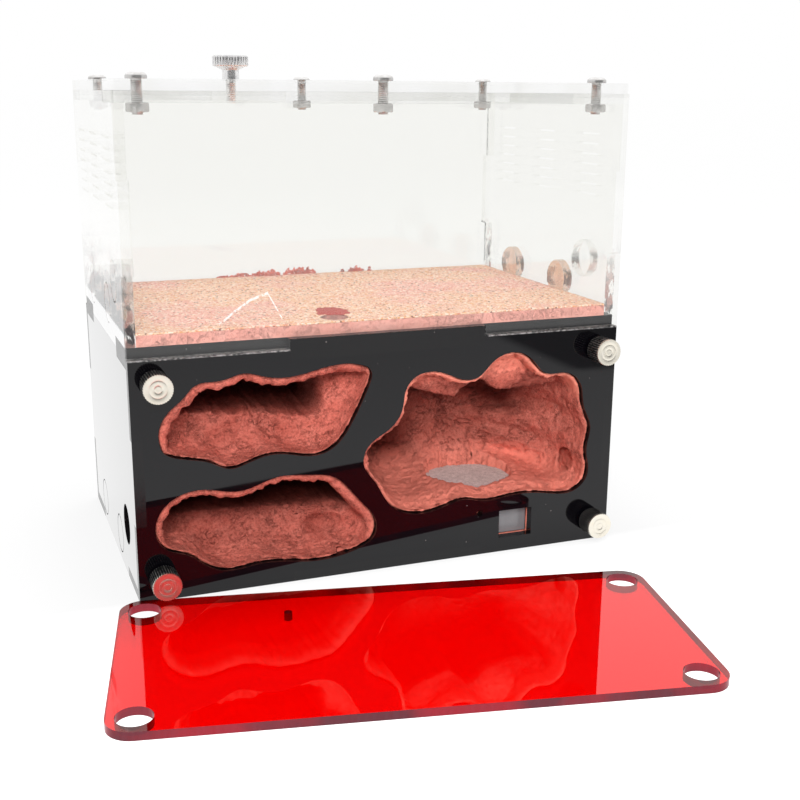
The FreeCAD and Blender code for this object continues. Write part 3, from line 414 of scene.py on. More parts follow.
# Machined metal has a bright face with fine turned rings and a little staining; a share of painted shade
# can darken its upright faces.
def metal(name, colour, roughness, rings, stain, metallic=1.0, sides=0.0):
    material, add, place, spot = newMaterial(name)
    stains = add("ShaderNodeTexNoise", place, perSize(1.6), 4, 0.55)
    base = add("ShaderNodeMapRange", stains, 0.35, 0.75)
    base = add("ShaderNodeMix", base, linear(colour), linear(stain), data_type="RGBA")
    # Painted shade on the upright faces, mixed towards grey.
    if sides:
        normal = add("ShaderNodeNewGeometry").node.outputs["Normal"]
        upright = add("ShaderNodeSeparateXYZ", normal).node.outputs["Z"]
        upright = add("ShaderNodeMapRange", upright, 0.25, 0.7, sides, 0.0)
        base = add("ShaderNodeMix", upright, base, linear("#5b5856"), data_type="RGBA")
    rough = add("ShaderNodeMapRange", stains, 0.3, 0.8, roughness, roughness + 0.1)
    fine = add("ShaderNodeMapping", {"Vector": place, "Scale": rings})
    fine = add("ShaderNodeTexNoise", fine, perSize(0.35), 2, 0.55)
    bump = add("ShaderNodeBump", {"Strength": 0.25, "Distance": 0.05 * mm, "Height": fine})
    shader = add("ShaderNodeBsdfPrincipled", {"Base Color": base, "Roughness": rough, "Metallic": metallic,
                                              "Normal": bump})
    add("ShaderNodeOutputMaterial", shader)
    return material


# Black anodised aluminium is satin black, worn to a silver line along each knurl's ridge.
def anodised(name):
    material, add, place, spot = newMaterial(name)
    ridge = add("ShaderNodeNewGeometry").node.outputs["Pointiness"]
    ridge = add("ShaderNodeMapRange", ridge, 0.53, 0.6)
    worn = add("ShaderNodeTexNoise", place, perSize(2.0), 3, 0.55)
    worn = add("ShaderNodeMapRange", worn, 0.35, 0.6)
    worn = add("ShaderNodeMath", ridge, worn, operation="MULTIPLY")
    base = add("ShaderNodeMix", worn, linear("#141315"), linear("#b9b6b2"), data_type="RGBA")
    rough = add("ShaderNodeMapRange", worn, 0.0, 1.0, 0.35, 0.25)
    shader = add("ShaderNodeBsdfPrincipled", {"Base Color": base, "Roughness": rough, "Metallic": 0.6})
    add("ShaderNodeOutputMaterial", shader)
    return material


# Moulded smoked plastic has the soft shine and water marks of a used tray.
def smokedTray(name):
    material, add, place, spot = newMaterial(name)
    marks = add("ShaderNodeTexNoise", place, perSize(6), 4, 0.55)
    base = add("ShaderNodeMix", marks, linear("#6c6a6d"), linear("#858385"), data_type="RGBA")
    rough = add("ShaderNodeMapRange", marks, 0.3, 0.7, 0.1, 0.22)
    add("ShaderNodeOutputMaterial", add("ShaderNodeBsdfPrincipled", {"Base Color": base, "Roughness": rough}))
    return material


alongX, alongY, alongZ = (1.0, 0.0, 0.0), (0.0, 1.0, 0.0), (0.0, 0.0, 1.0)
clearColours = ("#fcfcfb", "#fefefd", "#fafaf9")
blackFace = castAcrylic("castAcrylicBlack", "#050406", alongY, jointed=True)
blackPlate = castAcrylic("castAcrylicBlackPlate", "#050406", alongZ)
blackSide = castAcrylic("castAcrylicBlackSide", "#050406", alongX, coat=1.0)
clearSide = sheetAcrylic("clearAcrylicSide", alongX, *clearColours, 0.02, sideWall=True)
clearFace = sheetAcrylic("clearAcrylicFace", alongY, *clearColours, 0.02, dripped=True)
clearPlate = sheetAcrylic("clearAcrylicPlate", alongZ, "#fdfdfd", "#fefefe", "#fbfbfa", 0.03)
# Painted refraction: a sand-coloured tint for discs seen against the sand.
refractionTintedDisc = sheetAcrylic("clearAcrylicDiscTinted", alongX, "#f1d9c8", "#fbf4ef", "#f6ebe3", 0.03, 0.16)
redSheet = sheetAcrylic("redAcrylicSheet", alongZ, "#f1120d", "#6b424a", "#9c3c47", 0.8, 0.05)
plaster = castPlaster("tintedPlaster", "#ea8b7a", "#d97767", 0.75)
slabPlaster = castPlaster("pinkPlasterSlab", "#f4b6aa", "#efaa9d", 0.0, 0.06)
sand = looseSand("quartzSand")
wire = metal("stainlessWire", "#dbc4bf", 0.5, (1.0, 1.0, 1.0), "#b79d98", metallic=0.2)
stainless = metal("stainlessSteel", "#f6f5f4", 0.2, (1.0, 1.0, 6.0), "#dedbd8", metallic=0.9, sides=0.4)
nickel = metal("nickelPlatedBrass", "#f4f3f2", 0.24, (1.0, 1.0, 6.0), "#d5d4d6")
turnedFace = metal("turnedAluminium", "#e4dfd3", 0.28, (1.0, 6.0, 1.0), "#e9e2d2")
anodisedBlack = anodised("anodisedAluminiumBlack")
trayPlastic = smokedTray("smokedPlastic")
print("materials made")


# A geometry nodes tree with its inputs: the function that adds its nodes, and its inputs by name.
def newTree(name, sockets):
    tree = bpy.data.node_groups.new(name, "GeometryNodeTree")
    tree.interface.new_socket("Geometry", in_out="INPUT", socket_type="NodeSocketGeometry")
    for label, kind in sockets.items():
        tree.interface.new_socket(label, in_out="INPUT", socket_type="NodeSocket" + kind)
    tree.interface.new_socket("Geometry", in_out="OUTPUT", socket_type="NodeSocketGeometry")
    add = partial(addNode, tree)
    return tree, add, add("NodeGroupInput").node.outputs


def endTree(add, geometry, material):
    real = add("GeometryNodeRealizeInstances", {"Geometry": geometry})
    add("NodeGroupOutput", {0: add("GeometryNodeSetMaterial", {"Geometry": real, "Material": material})})


# One copy of a turned piece on each point, each spun by chance about its own axis.
def fastenerTree():
    sockets = {"Piece": "Object", "Tilt": "Vector", "Seed": "Int", "Finish": "Material"}
    tree, add, given = newTree("fastenersOnPoints", sockets)
    master = add("GeometryNodeObjectInfo", {"Object": given["Piece"]}).node.outputs["Geometry"]
    spin = add("FunctionNodeRandomValue", {2: 0.0, 3: turn, "Seed": given["Seed"]}, data_type="FLOAT")
    own = add("FunctionNodeEulerToRotation", {0: add("ShaderNodeCombineXYZ", {"Z": spin})})
    tilt = add("FunctionNodeEulerToRotation", {0: given["Tilt"]})
    both = add("FunctionNodeRotateRotation", {0: tilt, 1: own}, rotation_space="LOCAL")
    placed = add("GeometryNodeInstanceOnPoints", {"Points": given["Geometry"], "Instance": master,
                                                  "Rotation": both})
    endTree(add, placed, given["Finish"])
    return tree


# Plain-woven wire cloth, cut to a disc: two crossed sets of waved wires.
def meshTree():
    sockets = {"Radius": "Float", "Pitch": "Float", "Wire": "Float", "Finish": "Material"}
    tree, add, given = newTree("wovenWire", sockets)
    low = add("ShaderNodeMath", given["Radius"], -1.0, operation="MULTIPLY")
    across = add("ShaderNodeMath", given["Radius"], 2.0, operation="MULTIPLY")
    count = add("ShaderNodeMath", across, given["Pitch"], operation="DIVIDE")
    count = add("ShaderNodeMath", count, 1.0, operation="ADD")
    start = add("ShaderNodeCombineXYZ", {"Y": low})
    spacing = add("ShaderNodeCombineXYZ", {"Y": given["Pitch"]})
    rows = add("GeometryNodeMeshLine", {"Count": count, "Start Location": start, "Offset": spacing})
    left = add("ShaderNodeCombineXYZ", {"X": low})
    right = add("ShaderNodeCombineXYZ", {"X": given["Radius"]})
    line = add("GeometryNodeCurvePrimitiveLine", {"Start": left, "End": right})
    half = add("ShaderNodeMath", given["Pitch"], 2.0, operation="DIVIDE")
    fine = add("GeometryNodeResampleCurve", {"Curve": line, "Length": half}, mode="LENGTH")
    sets = []
    for quarter in (0.0, 1.0):
        placed = add("GeometryNodeInstanceOnPoints", {"Points": rows, "Instance": fine})
        loose = add("GeometryNodeRealizeInstances", {"Geometry": placed})
        spot = add("ShaderNodeSeparateXYZ", add("GeometryNodeInputPosition")).node.outputs
        steps = [add("ShaderNodeMath", spot[axis], given["Pitch"], operation="DIVIDE") for axis in ("X", "Y")]
        phase = add("ShaderNodeMath", *steps, operation="ADD")
        phase = add("ShaderNodeMath", phase, quarter, operation="ADD")
        phase = add("ShaderNodeMath", phase, math.pi, operation="MULTIPLY")
        lift = add("ShaderNodeMath", add("ShaderNodeMath", phase, operation="COSINE"), given["Wire"],
                   operation="MULTIPLY")
        offset = add("ShaderNodeCombineXYZ", {"Z": lift})
        waved = add("GeometryNodeSetPosition", {"Geometry": loose, "Offset": offset})
        away = add("ShaderNodeVectorMath", add("GeometryNodeInputPosition"), operation="LENGTH")
        outside = add("FunctionNodeCompare", away, given["Radius"], data_type="FLOAT",
                      operation="GREATER_THAN")
        trimmed = add("GeometryNodeDeleteGeometry", {"Geometry": waved, "Selection": outside})
        section = add("GeometryNodeCurvePrimitiveCircle", {"Resolution": 4, "Radius": given["Wire"]})
        tube = add("GeometryNodeCurveToMesh", {"Curve": trimmed, "Profile Curve": section, "Fill Caps": True})
        angle = (0.0, 0.0, quarter * math.pi / 2)
        sets.append(add("GeometryNodeTransform", {"Geometry": tube, "Rotation": angle}))
    endTree(add, add("GeometryNodeJoinGeometry", sets), given["Finish"])
    return tree


# Crumbs strewn over the faces of the given patch, each with a size and turn of its own.
def crumbTree():
    sockets = {"Crumb": "Object", "Density": "Float", "Smallest": "Float", "Largest": "Float", "Seed": "Int",
               "Finish": "Material"}
    tree, add, given = newTree("strewnCrumbs", sockets)
    spots = add("GeometryNodeDistributePointsOnFaces", {"Mesh": given["Geometry"], "Seed": given["Seed"],
                                                        "Density": given["Density"]})
    crumb = add("GeometryNodeObjectInfo", {"Object": given["Crumb"]}).node.outputs["Geometry"]
    turned = add("FunctionNodeRandomValue", {0: (0, 0, 0), 1: (turn, turn, turn), "Seed": given["Seed"]},
                 data_type="FLOAT_VECTOR")
    turned = add("FunctionNodeEulerToRotation", {0: turned})
    size = add("FunctionNodeRandomValue", {2: given["Smallest"], 3: given["Largest"], "Seed": given["Seed"]},
               data_type="FLOAT")
    placed = add("GeometryNodeInstanceOnPoints", {"Points": spots, "Instance": crumb, "Scale": size,
                                                  "Rotation": turned})
    endTree(add, placed, given["Finish"])
    return tree


# The plain mesh that a tree makes from the base object, as a new piece.
def grow(name, base, tree, values):
    modifier = base.modifiers.new("grow", "NODES")
    modifier.node_group = tree
    for socket in tree.interface.items_tree:
        if socket.in_out == "INPUT" and socket.name in values:
            modifier[socket.identifier] = values[socket.name]
    mesh = bpy.data.meshes.new_from_object(base.evaluated_get(bpy.context.evaluated_depsgraph_get()))
    piece = bpy.data.objects.new(name, mesh)
    mesh.name = name
    bpy.context.scene.collection.objects.link(piece)
    base.modifiers.remove(modifier)
    bpy.data.objects.remove(base)
    return piece


placeFasteners = fastenerTree()
weaveMesh = meshTree()
strewCrumbs = crumbTree()
print("trees made")


# A closed turned piece on the Z axis from (height, radius, ribbed) rows; ribs cut V grooves round it.
def turned(name, profile, segments, ribs=0, ribDepth=0.0, ribShare=0.5):
    vertices, faces = [], []
    for height, radius, ribbed in profile:
        for k in range(segments):
            angle = turn * k / segments
            phase = (k * ribs / segments) % 1.0
            groove = max(0.0, 1 - abs(phase - 0.5) / (ribShare / 2)) if ribs else 0.0
            r = max(radius - ribDepth * groove * ribbed, 0.02)
            vertices.append((r * math.cos(angle) * mm, r * math.sin(angle) * mm, height * mm))
    for row in range(len(profile) - 1):
        for k in range(segments):
            a, b = row * segments + k, row * segments + (k + 1) % segments
            faces.append((a, b, b + segments, a + segments))
    faces.append(tuple(reversed(range(segments))))
    faces.append(tuple(range((len(profile) - 1) * segments, len(profile) * segments)))
    piece = meshObject(name, vertices, faces)
    piece.data.set_sharp_from_angle(angle=math.radians(35))
    return piece


# Puts a finished mesh at its place, with the object left at the origin.
def settle(piece, place, tilt=(0.0, 0.0, 0.0)):
    matrix = Matrix.Translation(place) @ Matrix.Rotation(tilt[2], 4, "Z") @ Matrix.Rotation(tilt[0], 4, "X")
    piece.data.transform(matrix)
    return piece


# A hex nut with both rims chamfered.
def hexagon(name, across, height, hole):
    corner = across / math.sqrt(3)
    rows = [(0.0, corner - 0.45, 0), (0.3, corner, 0), (height - 0.3, corner, 0), (height, corner - 0.45, 0),
            (height, hole, 1), (height - 0.4, hole - 0.35, 1), (0.4, hole - 0.35, 1), (0.0, hole, 1)]
    vertices, faces, segments = [], [], 36
    for z, radius, inside in rows:
        for k in range(segments):
            angle = turn * k / segments
            flat = (across / 2) / max(abs(math.cos((angle + turn / 12) % (turn / 6) - turn / 12)), 0.5)
            r = radius if inside else min(radius, flat)
            vertices.append((r * math.cos(angle) * mm, r * math.sin(angle) * mm, z * mm))
    for row in range(len(rows)):
        for k in range(segments):
            a, b = row * segments + k, row * segments + (k + 1) % segments
            c = (row + 1) % len(rows) * segments
            faces.append((a, b, c + (k + 1) % segments, c + k))
    nut = meshObject(name, vertices, faces)
    nut.data.set_sharp_from_angle(angle=math.radians(30))
    return nut


thread = {"pitch": 0.7, "depth": 0.22}


def threadRows(start, end, radius):
    rows, z = [], start
    depth = thread["depth"]
    step = thread["pitch"] / 2 if end > start else -thread["pitch"] / 2
    ridge = True
    while (end - z) * step > 0:
        rows.append((z, radius if ridge else radius - depth, 0))
        ridge = not ridge
        z += step
    return rows + [(end, radius - 0.5, 0)]


lidScrew = {"head": 3.8, "height": 2.2, "radius": 2.0, "length": 12.0, "socket": 1.45, "socketDepth": 1.3}


# A button head with a hex socket over a threaded shank, its head's underside at height 0.
def screwMaster():
    s = lidScrew
    rows = threadRows(-s["length"], -0.6, s["radius"])[:-1]
    rows += [(-0.6, 1.8, 0), (0.0, 1.95, 0)]
    rows += [(0.0, s["head"] - 0.15, 0), (0.15, s["head"], 0), (0.8, s["head"], 0)]
    for k in range(1, 6):
        angle = k / 6 * math.pi / 2
        height = 0.8 + (s["height"] - 0.8) * math.sin(angle)
        rows.append((height, 2.0 + (s["head"] - 2.0) * math.cos(angle), 0))
    rows += [(s["height"], 1.75, 0), (s["height"] - 0.2, s["socket"], 0),
             (s["height"] - s["socketDepth"], s["socket"], 0)]
    return turned("screwMaster", rows, 30)


def pointsAt(nodes, height=None):
    spots = []
    for node in nodes:
        low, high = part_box(node)
        spot = middle(node)
        spot.z = low[2] if height is None else height
        spots.append(spot)
    return meshObject("spots", spots, [])


def fasteners():
    corners = [f"{a}_{b}" for a in ("front", "rear") for b in ("left", "middle", "right")]
    screws, nuts = [f"{c}_screw" for c in corners], [f"{c}_nut" for c in corners]
    pegNuts = [f"{a}_{b}_peg_nut" for a in ("upper", "lower") for b in ("left", "right")]
    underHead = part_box(screws[0])[1][2] - lidScrew["height"] * mm
    values = {"Tilt": (0.0, 0.0, 0.0), "Seed": 4, "Finish": stainless}
    master = screwMaster()
    screwPiece = grow("lidScrews", pointsAt(screws, underHead), placeFasteners, {"Piece": master, **values})
    finishPiece(screwPiece, "lid", stainless, "stainless_steel", *screws)
    bpy.data.objects.remove(master)
    master = hexagon("nutMaster", 7.0, 3.2, 2.05)
    nutPiece = grow("lidNuts", pointsAt(nuts), placeFasteners, {"Piece": master, **values})
    finishPiece(nutPiece, "nest", stainless, "stainless_steel", *nuts)
    spots = meshObject("spots", [Vector((middle(n).x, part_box(n)[0][1], middle(n).z)) for n in pegNuts], [])
    tilted = dict(values, Tilt=(-math.pi / 2, 0.0, 0.0))
    backNuts = grow("pegNuts", spots, placeFasteners, {"Piece": master, **tilted})
    finishPiece(backNuts, "nest", stainless, "stainless_steel", *pegNuts)
    bpy.data.objects.remove(master)


peg = {"head": 5.5, "length": 10.0, "shoulder": 3.8, "gap": 1.2, "ribs": 36, "ribDepth": 0.42, "stud": 8.2}


# Black knurled thumb screws; the turned end and its chamfer are bare metal.
def pegs():
    p = peg
    tilt = (math.pi / 2, 0.0, 0.0)
    for side in ("upper_left", "upper_right", "lower_left", "lower_right"):
        low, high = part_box(f"{side}_peg")
        centre = middle(f"{side}_peg")
        panel = low[1] / mm + p["length"]
        body = [(-p["stud"], 1.6, 0), (-p["stud"] + 0.4, 1.95, 0), (0.0, 1.95, 0),
                (0.0, p["shoulder"] - 0.2, 0), (0.2, p["shoulder"], 0),
                (p["gap"], p["shoulder"], 0), (p["gap"], p["head"] - 0.6, 0),
                (p["gap"] + 0.35, p["head"] - 0.15, 0.8), (p["gap"] + 0.6, p["head"], 1), (8.0, p["head"], 1),
                (p["length"] - 0.75, p["head"], 1), (p["length"] - 0.75, 1.0, 0)]
        place = Vector((centre.x, panel * mm, centre.z))
        knob = settle(turned(f"{side}Peg", body, p["ribs"] * 4, p["ribs"], p["ribDepth"], 0.62), place, tilt)
        finishPiece(knob, f"{side}_peg", anodisedBlack, "black_anodised_aluminium", f"{side}_peg")
        top = p["length"]
        end = [(top - 0.8, 4.4, 0), (top - 0.8, p["head"] - 0.02, 1), (top - 0.3, p["head"] - 0.02, 1),
               (top - 0.02, p["head"] - 0.1, 0.8), (top - 0.02, p["head"] - 0.55, 0.0), (top - 0.02, 3.4, 0),
               (top - 0.08, 3.25, 0), (top - 0.03, 3.1, 0), (top - 0.04, 1.6, 0), (top - 0.16, 1.35, 0),
               (top - 0.08, 1.0, 0), (top - 0.14, 0.4, 0)]
        face = settle(turned(f"{side}PegFace", end, p["ribs"] * 4, p["ribs"], 0.28, 0.62), place, tilt)
        finishPiece(face, f"{side}_peg", turnedFace, "black_anodised_aluminium")


plug = {"head": 7.1, "headHeight": 4.2, "ribs": 36, "ribDepth": 0.45}


# The bright knurled thumb screw that shuts the feeding hole.
def feedPlug():
    low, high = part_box("feed_plug")
    top = (high[2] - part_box("lid")[1][2]) / mm
    shank = (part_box("lid")[1][2] - low[2]) / mm
    under = top - plug["headHeight"]
    r = plug["head"]
    rows = threadRows(-shank, -0.8, 1.98)[:-1]
    rows += [(-0.8, 1.9, 0), (0.0, 1.95, 0), (0.0, 3.6, 0), (0.1, 3.8, 0), (0.5, 3.8, 0), (0.65, 3.4, 0)]
    rows += [(under - 1.4, 3.35, 0), (under - 1.1, 3.7, 0), (under - 0.1, 5.6, 0), (under, 6.2, 0)]
    rows += [(under + 0.1, r - 0.5, 0.4), (under + 0.5, r, 1), (top - 0.55, r, 1)]
    rows += [(top - 0.12, r - 0.45, 0.4), (top, r - 0.7, 0), (top, 4.9, 0), (top - 0.25, 4.7, 0)]
    rows += [(top - 0.25, 1.2, 0)]
    piece = turned("thumbScrew", rows, plug["ribs"] * 6, plug["ribs"], plug["ribDepth"], 0.6)
    spot = middle("feed_plug")
    settle(piece, Vector((spot.x, spot.y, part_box("lid")[1][2])))
    finishPiece(piece, "feed_plug", nickel, "nickel_plated_brass", "feed_plug")


fasteners()
pegs()
feedPlug()
print("screws, nuts and pegs made")


# The closed edges of a sheet's cut-outs on the side at y = level, biggest first, as (x, z) points in mm.
def holeLoops(node, level):
    shape = bmesh.new()
    shape.from_mesh(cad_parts[node].data)
    bmesh.ops.remove_doubles(shape, verts=shape.verts, dist=2e-6)
    after = {}
    for edge in shape.edges:
        if len(edge.link_faces) == 2 and all(abs(v.co.y - level) < 1e-5 for v in edge.verts):
            tilts = sorted(abs(f.normal.y) for f in edge.link_faces)
            if tilts[0] < 0.5 < tilts[1]:
                a, b = edge.verts
                after.setdefault(a.index, []).append(b.index)
                after.setdefault(b.index, []).append(a.index)
    shape.verts.ensure_lookup_table()
    loops, seen = [], set()
    for start in after:
        if start in seen:
            continue
        loop, here, last = [start], start, None
        while True:
            seen.add(here)
            onward = [n for n in after[here] if n != last and (n not in seen or n == start)]
            if not onward or onward[0] == start:
                break
            last, here = here, onward[0]
            loop.append(here)
        loops.append(np.array([(shape.verts[i].co.x / mm, shape.verts[i].co.z / mm) for i in loop]))
    shape.free()
    loops.sort(key=lambda points: -abs(areaOf(points)))
    return [points if areaOf(points) > 0 else points[::-1] for points in loops]


def areaOf(points):
    x, z = points[:, 0], points[:, 1]
    return 0.5 * float(np.sum(x * np.roll(z, -1) - np.roll(x, -1) * z))


# The closed line as count points spaced evenly along it.
def evenly(points, count):
    closed = np.vstack([points, points[:1]])
    run = np.concatenate([[0], np.cumsum(np.linalg.norm(np.diff(closed, axis=0), axis=1))])
    at = np.linspace(0, run[-1], count, endpoint=False)
    return np.stack([np.interp(at, run, closed[:, i]) for i in (0, 1)], 1)


def smoothStep(value, low, high):
    share = np.clip((value - low) / (high - low), 0, 1)
    return share * share * (3 - 2 * share)


# Fractal noise between about -1 and 1 at each point, with features about size mm.
def waves(points, size, seed, octaves=3):
    shift = Vector((seed, 0, 0))
    return np.array([noise.fractal(Vector(p) / size + shift, 1.0, 2.0, octaves) for p in points])


chambers = {
    "upper": {"centre": (-50, 67), "depth": 17, "lipTop": 3.4, "lipLeft": 3.6, "lipRight": 0.0,
              "lipDepth": 0.6, "steepTop": 6.0, "steepLow": 2.1, "steepRight": 2.0,
              "around": 300, "rings": 84, "seed": 3},
    "lower": {"centre": (-50, 27), "depth": 21, "lipTop": 3.2, "lipLeft": 2.6, "lipRight": 2.2,
              "lipDepth": 0.6, "steepTop": 6.0, "steepLow": 2.3, "steepRight": 2.4,
              "around": 300, "rings": 84, "seed": 9},
    "right": {"centre": (40, 47), "depth": 46, "lipTop": 1.6, "lipLeft": 2.2, "lipRight": 0.6,
              "lipDepth": 0.4, "steepTop": 5.0, "steepLow": 5.0, "steepRight": 2.3,
              "around": 360, "rings": 100, "seed": 17},
}
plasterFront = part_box("plaster_block")[0][1] / mm
# The lip stands forward inside the window: steps inward in mm, share of the lip's width, and depth in mm.
lipProfile = ((0.0, 0.0, 0.0), (0.25, 0.0, -0.1), (0.3, 0.0, -1.6), (0.55, 0.08, -2.1), (0.5, 0.4, -1.9),
              (0.2, 0.8, -0.9))


# A chamber's skin: rings from the window's edge over a ragged lip and down the carved wall to its back.
def hollow(outline, form):
    rim = evenly(outline, form["around"])
    along = np.roll(rim, -1, 0) - np.roll(rim, 1, 0)
    out = np.stack([along[:, 1], -along[:, 0]], 1)
    out /= np.linalg.norm(out, axis=1)[:, None]
    up, left, right = np.clip(out[:, 1], 0, 1), np.clip(-out[:, 0], 0, 1), np.clip(out[:, 0], 0, 1)
    ragged = waves([(p[0], 0, p[1]) for p in rim], 3.0, form["seed"], 4)
    lip = 0.5 + form["lipTop"] * up + form["lipLeft"] * left ** 2 + form["lipRight"] * right ** 2
    lip = lip + ragged * 0.9 * np.clip(up + left + right * (form["lipRight"] > 1), 0, 1)
    inner = rim - out * np.clip(lip, 0.35, 7)[:, None]
    low = form["steepLow"] + (form["steepRight"] - form["steepLow"]) * right
    steep = low + (form["steepTop"] - low) * np.clip(np.maximum(up * 1.4, left * 1.3), 0, 1)
    for _ in range(12):
        steep = (np.roll(steep, 1) + steep + np.roll(steep, -1)) / 3
    centre = np.array(form["centre"], float)
    angles = np.linspace(0, math.pi / 2, 240)
    deep = form["depth"] - form["lipDepth"]
    lipRings = len(lipProfile)
    rings = np.zeros((lipRings + form["rings"], form["around"], 3))
    for k, (inset, share, depth) in enumerate(lipProfile):
        flat = rim - out * inset + (inner - rim) * share
        rings[k] = np.stack([flat[:, 0], np.full(len(flat), depth), flat[:, 1]], 1)
    for u in range(form["around"]):
        reach = inner[u] - centre
        length = np.linalg.norm(reach)
        power = 2 / steep[u]
        r, d = np.cos(angles).clip(0, 1) ** power, np.sin(angles).clip(0, 1) ** power
        run = np.concatenate([[0], np.cumsum(np.hypot(np.diff(r) * length, np.diff(d) * deep))])
        at = np.linspace(0, run[-1], form["rings"] + 1)[:-1]
        r, d = np.interp(at, run, r), np.interp(at, run, d)
        flat = centre + reach * r[:, None]
        rings[lipRings:, u] = np.stack([flat[:, 0], form["lipDepth"] + deep * d, flat[:, 1]], 1)
    points = rings.reshape(-1, 3)
    pole = np.array([[centre[0], form["depth"], centre[1]]])
    return np.vstack([points, pole]), lipRings + form["rings"], form["around"]


# How far inside a round hole each point lies, 1 well inside and 0 outside.
def bored(points, centre, radius, soft):
    return 1 - smoothStep(np.linalg.norm(points - np.array(centre), axis=1), radius - soft, radius + soft)


def shapeUpper(points):
    x, depth, z = points.T
    rough = waves(points, 4.0, 31, 3)
    sill = 68.0 - 0.08 * (x + 73)
    inside = smoothStep(x + rough, -81, -77) * (1 - smoothStep(x + rough * 0.5, -24.5, -22.3))
    corner = 1 - smoothStep(np.hypot(np.clip(x + 31, 0, 99), np.clip(70 - z, 0, 99)), 8.0, 9.3)
    rise = smoothStep(z - sill + rough * 1.3, -2.5, 2.0)
    reach = inside * rise * np.where(x > -31, corner, 1) * smoothStep(depth, 1.5, 3.5)
    points[:, 1] += 60 * reach
    points[:, 2] += 4.5 * reach * smoothStep(z, 64, 76)
    points[:, 1] += 2.0 * waves(points, 16, 5, 2) * smoothStep(depth, 3, 9)


def shapeLower(points):
    x, depth, z = points.T
    rough = waves(points, 4.0, 41, 3)
    sill = 26.5 - 0.03 * (x + 83)
    inside = smoothStep(x + rough, -89, -84) * (1 - smoothStep(x + rough - (34 - z) * 0.5, -18.0, -15.0))
    reach = inside * smoothStep(z - sill + rough * 0.5, -2.0, 2.0) * smoothStep(depth, 1.5, 3.5)
    points[:, 1] += 60 * reach
    points[:, 2] += 3.5 * reach * smoothStep(z, 28, 40)
    points[:, 1] += 1.8 * waves(points, 15, 12, 2) * smoothStep(depth, 3, 9)
    bowl = 1 - smoothStep(np.hypot((x + 21) / 9.5, (z - 14.5) / 5.0), 0.2, 1.15)
    points[:, 1] += 3.4 * bowl
    points[:, 2] -= 1.0 * bowl
    slit = 1 - smoothStep(np.hypot((x + 18) / 4.2, (z - 8.6 - 0.02 * (x + 18) ** 2) / 0.8), 0.5, 1.1)
    points[:, 1] += 6.0 * slit


# The lower edge of the lobes that hang from the right chamber's ceiling.
ceilingEdge = ((4, 76), (11, 72), (18, 68.5), (27, 66), (33.5, 64.5), (37, 68), (42, 72), (46, 70.5),
               (52, 66), (63, 64.8), (73, 65.5), (83, 68.5))


def shapeRight(points):
    x, depth, z = points.T
    rough = waves(points, 5.0, 51, 3)
    floorHere = 1 - smoothStep(z, 24, 34)
    points[:, 2] += 1.7 * floorHere * smoothStep(depth, 1.0, 8.0)
    edgeX, edgeZ = zip(*ceilingEdge)
    ceiling = np.interp(x, edgeX, edgeZ) + 0.7 * waves([(p[0], 0, 0) for p in points], 3.0, 7, 3)
    shallow = smoothStep(z, ceiling - 0.5, ceiling + 0.5) * smoothStep(x, 5, 10) * (1 - smoothStep(x, 80, 84))
    limit = 2.0 + 0.45 * np.clip(86 - z, 0, 24) + rough * 0.8
    points[:, 1] = np.where(depth > limit, depth + (limit - depth) * shallow, depth)
    points[:, 1] += 3.0 * waves(points, 18, 25, 2) * smoothStep(depth, 4, 14) * (1 - floorHere)
    folds = np.abs(waves(points * [1.0, 0.3, 1.4], 9, 61, 4))
    points[:, 1] += 2.6 * (0.12 - folds).clip(0, 1) * 6 * smoothStep(depth, 12, 25) * (1 - floorHere)


portHole = {"centre": (86.0, 12.0, 31.5), "radius": 5.0, "push": (9.0, 10.0, -1.0), "end": 90.0}
meshOpening = {"centre": (47.8, 27.0), "size": (19.8, 18.6)}


# Where a tube's tunnel meets the right chamber, and where its floor is left open over the wire cloth.
def openTunnels(points):
    within = bored(points, portHole["centre"], portHole["radius"], 0.5) * (points[:, 0] > 78)
    points += np.array(portHole["push"]) * within[:, None]
    past = np.clip(points[:, 0] - portHole["end"], 0, None) * (within > 0)
    points[:, 0] -= 0.9 * past
    x, depth, z = points.T
    edge = np.hypot((x - meshOpening["centre"][0]) / meshOpening["size"][0],
                    (depth - meshOpening["centre"][1]) / meshOpening["size"][1])
    edge += 0.05 * waves([(a, b, 0) for a, b in zip(x, depth)], 3.5, 71, 3)
    drop = (1 - smoothStep(edge, 0.93, 1.0)) * (z < 32)
    points[:, 2] += (22.0 - points[:, 2]) * drop


# Pushes a mesh's points in and out along their normals by noise; the first keep points stay.
def grained(piece, amount, size, seed, keep):
    count = len(piece.data.vertices)
    places, normals = np.zeros(count * 3), np.zeros(count * 3)
    piece.data.vertices.foreach_get("co", places)
    piece.data.vertex_normals.foreach_get("vector", normals)
    places, normals = places.reshape(-1, 3), normals.reshape(-1, 3)
    shift = Vector((seed, 0, 0))
    push = np.array([noise.fractal(Vector(p) / (size * mm) + shift, 0.8, 2.2, 4) for p in places])
    push[:keep] = 0
    places += normals * push[:, None] * amount * mm
    piece.data.vertices.foreach_set("co", places.ravel())
    piece.data.update()


def ringFaces(rings, around, pole):
    faces = []
    for k in range(rings - 1):
        for u in range(around):
            a, b = k * around + u, k * around + (u + 1) % around
            faces.append((a, b, b + around, a + around))
    last = (rings - 1) * around
    faces += [(last + u, last + (u + 1) % around, pole) for u in range(around)]
    return faces


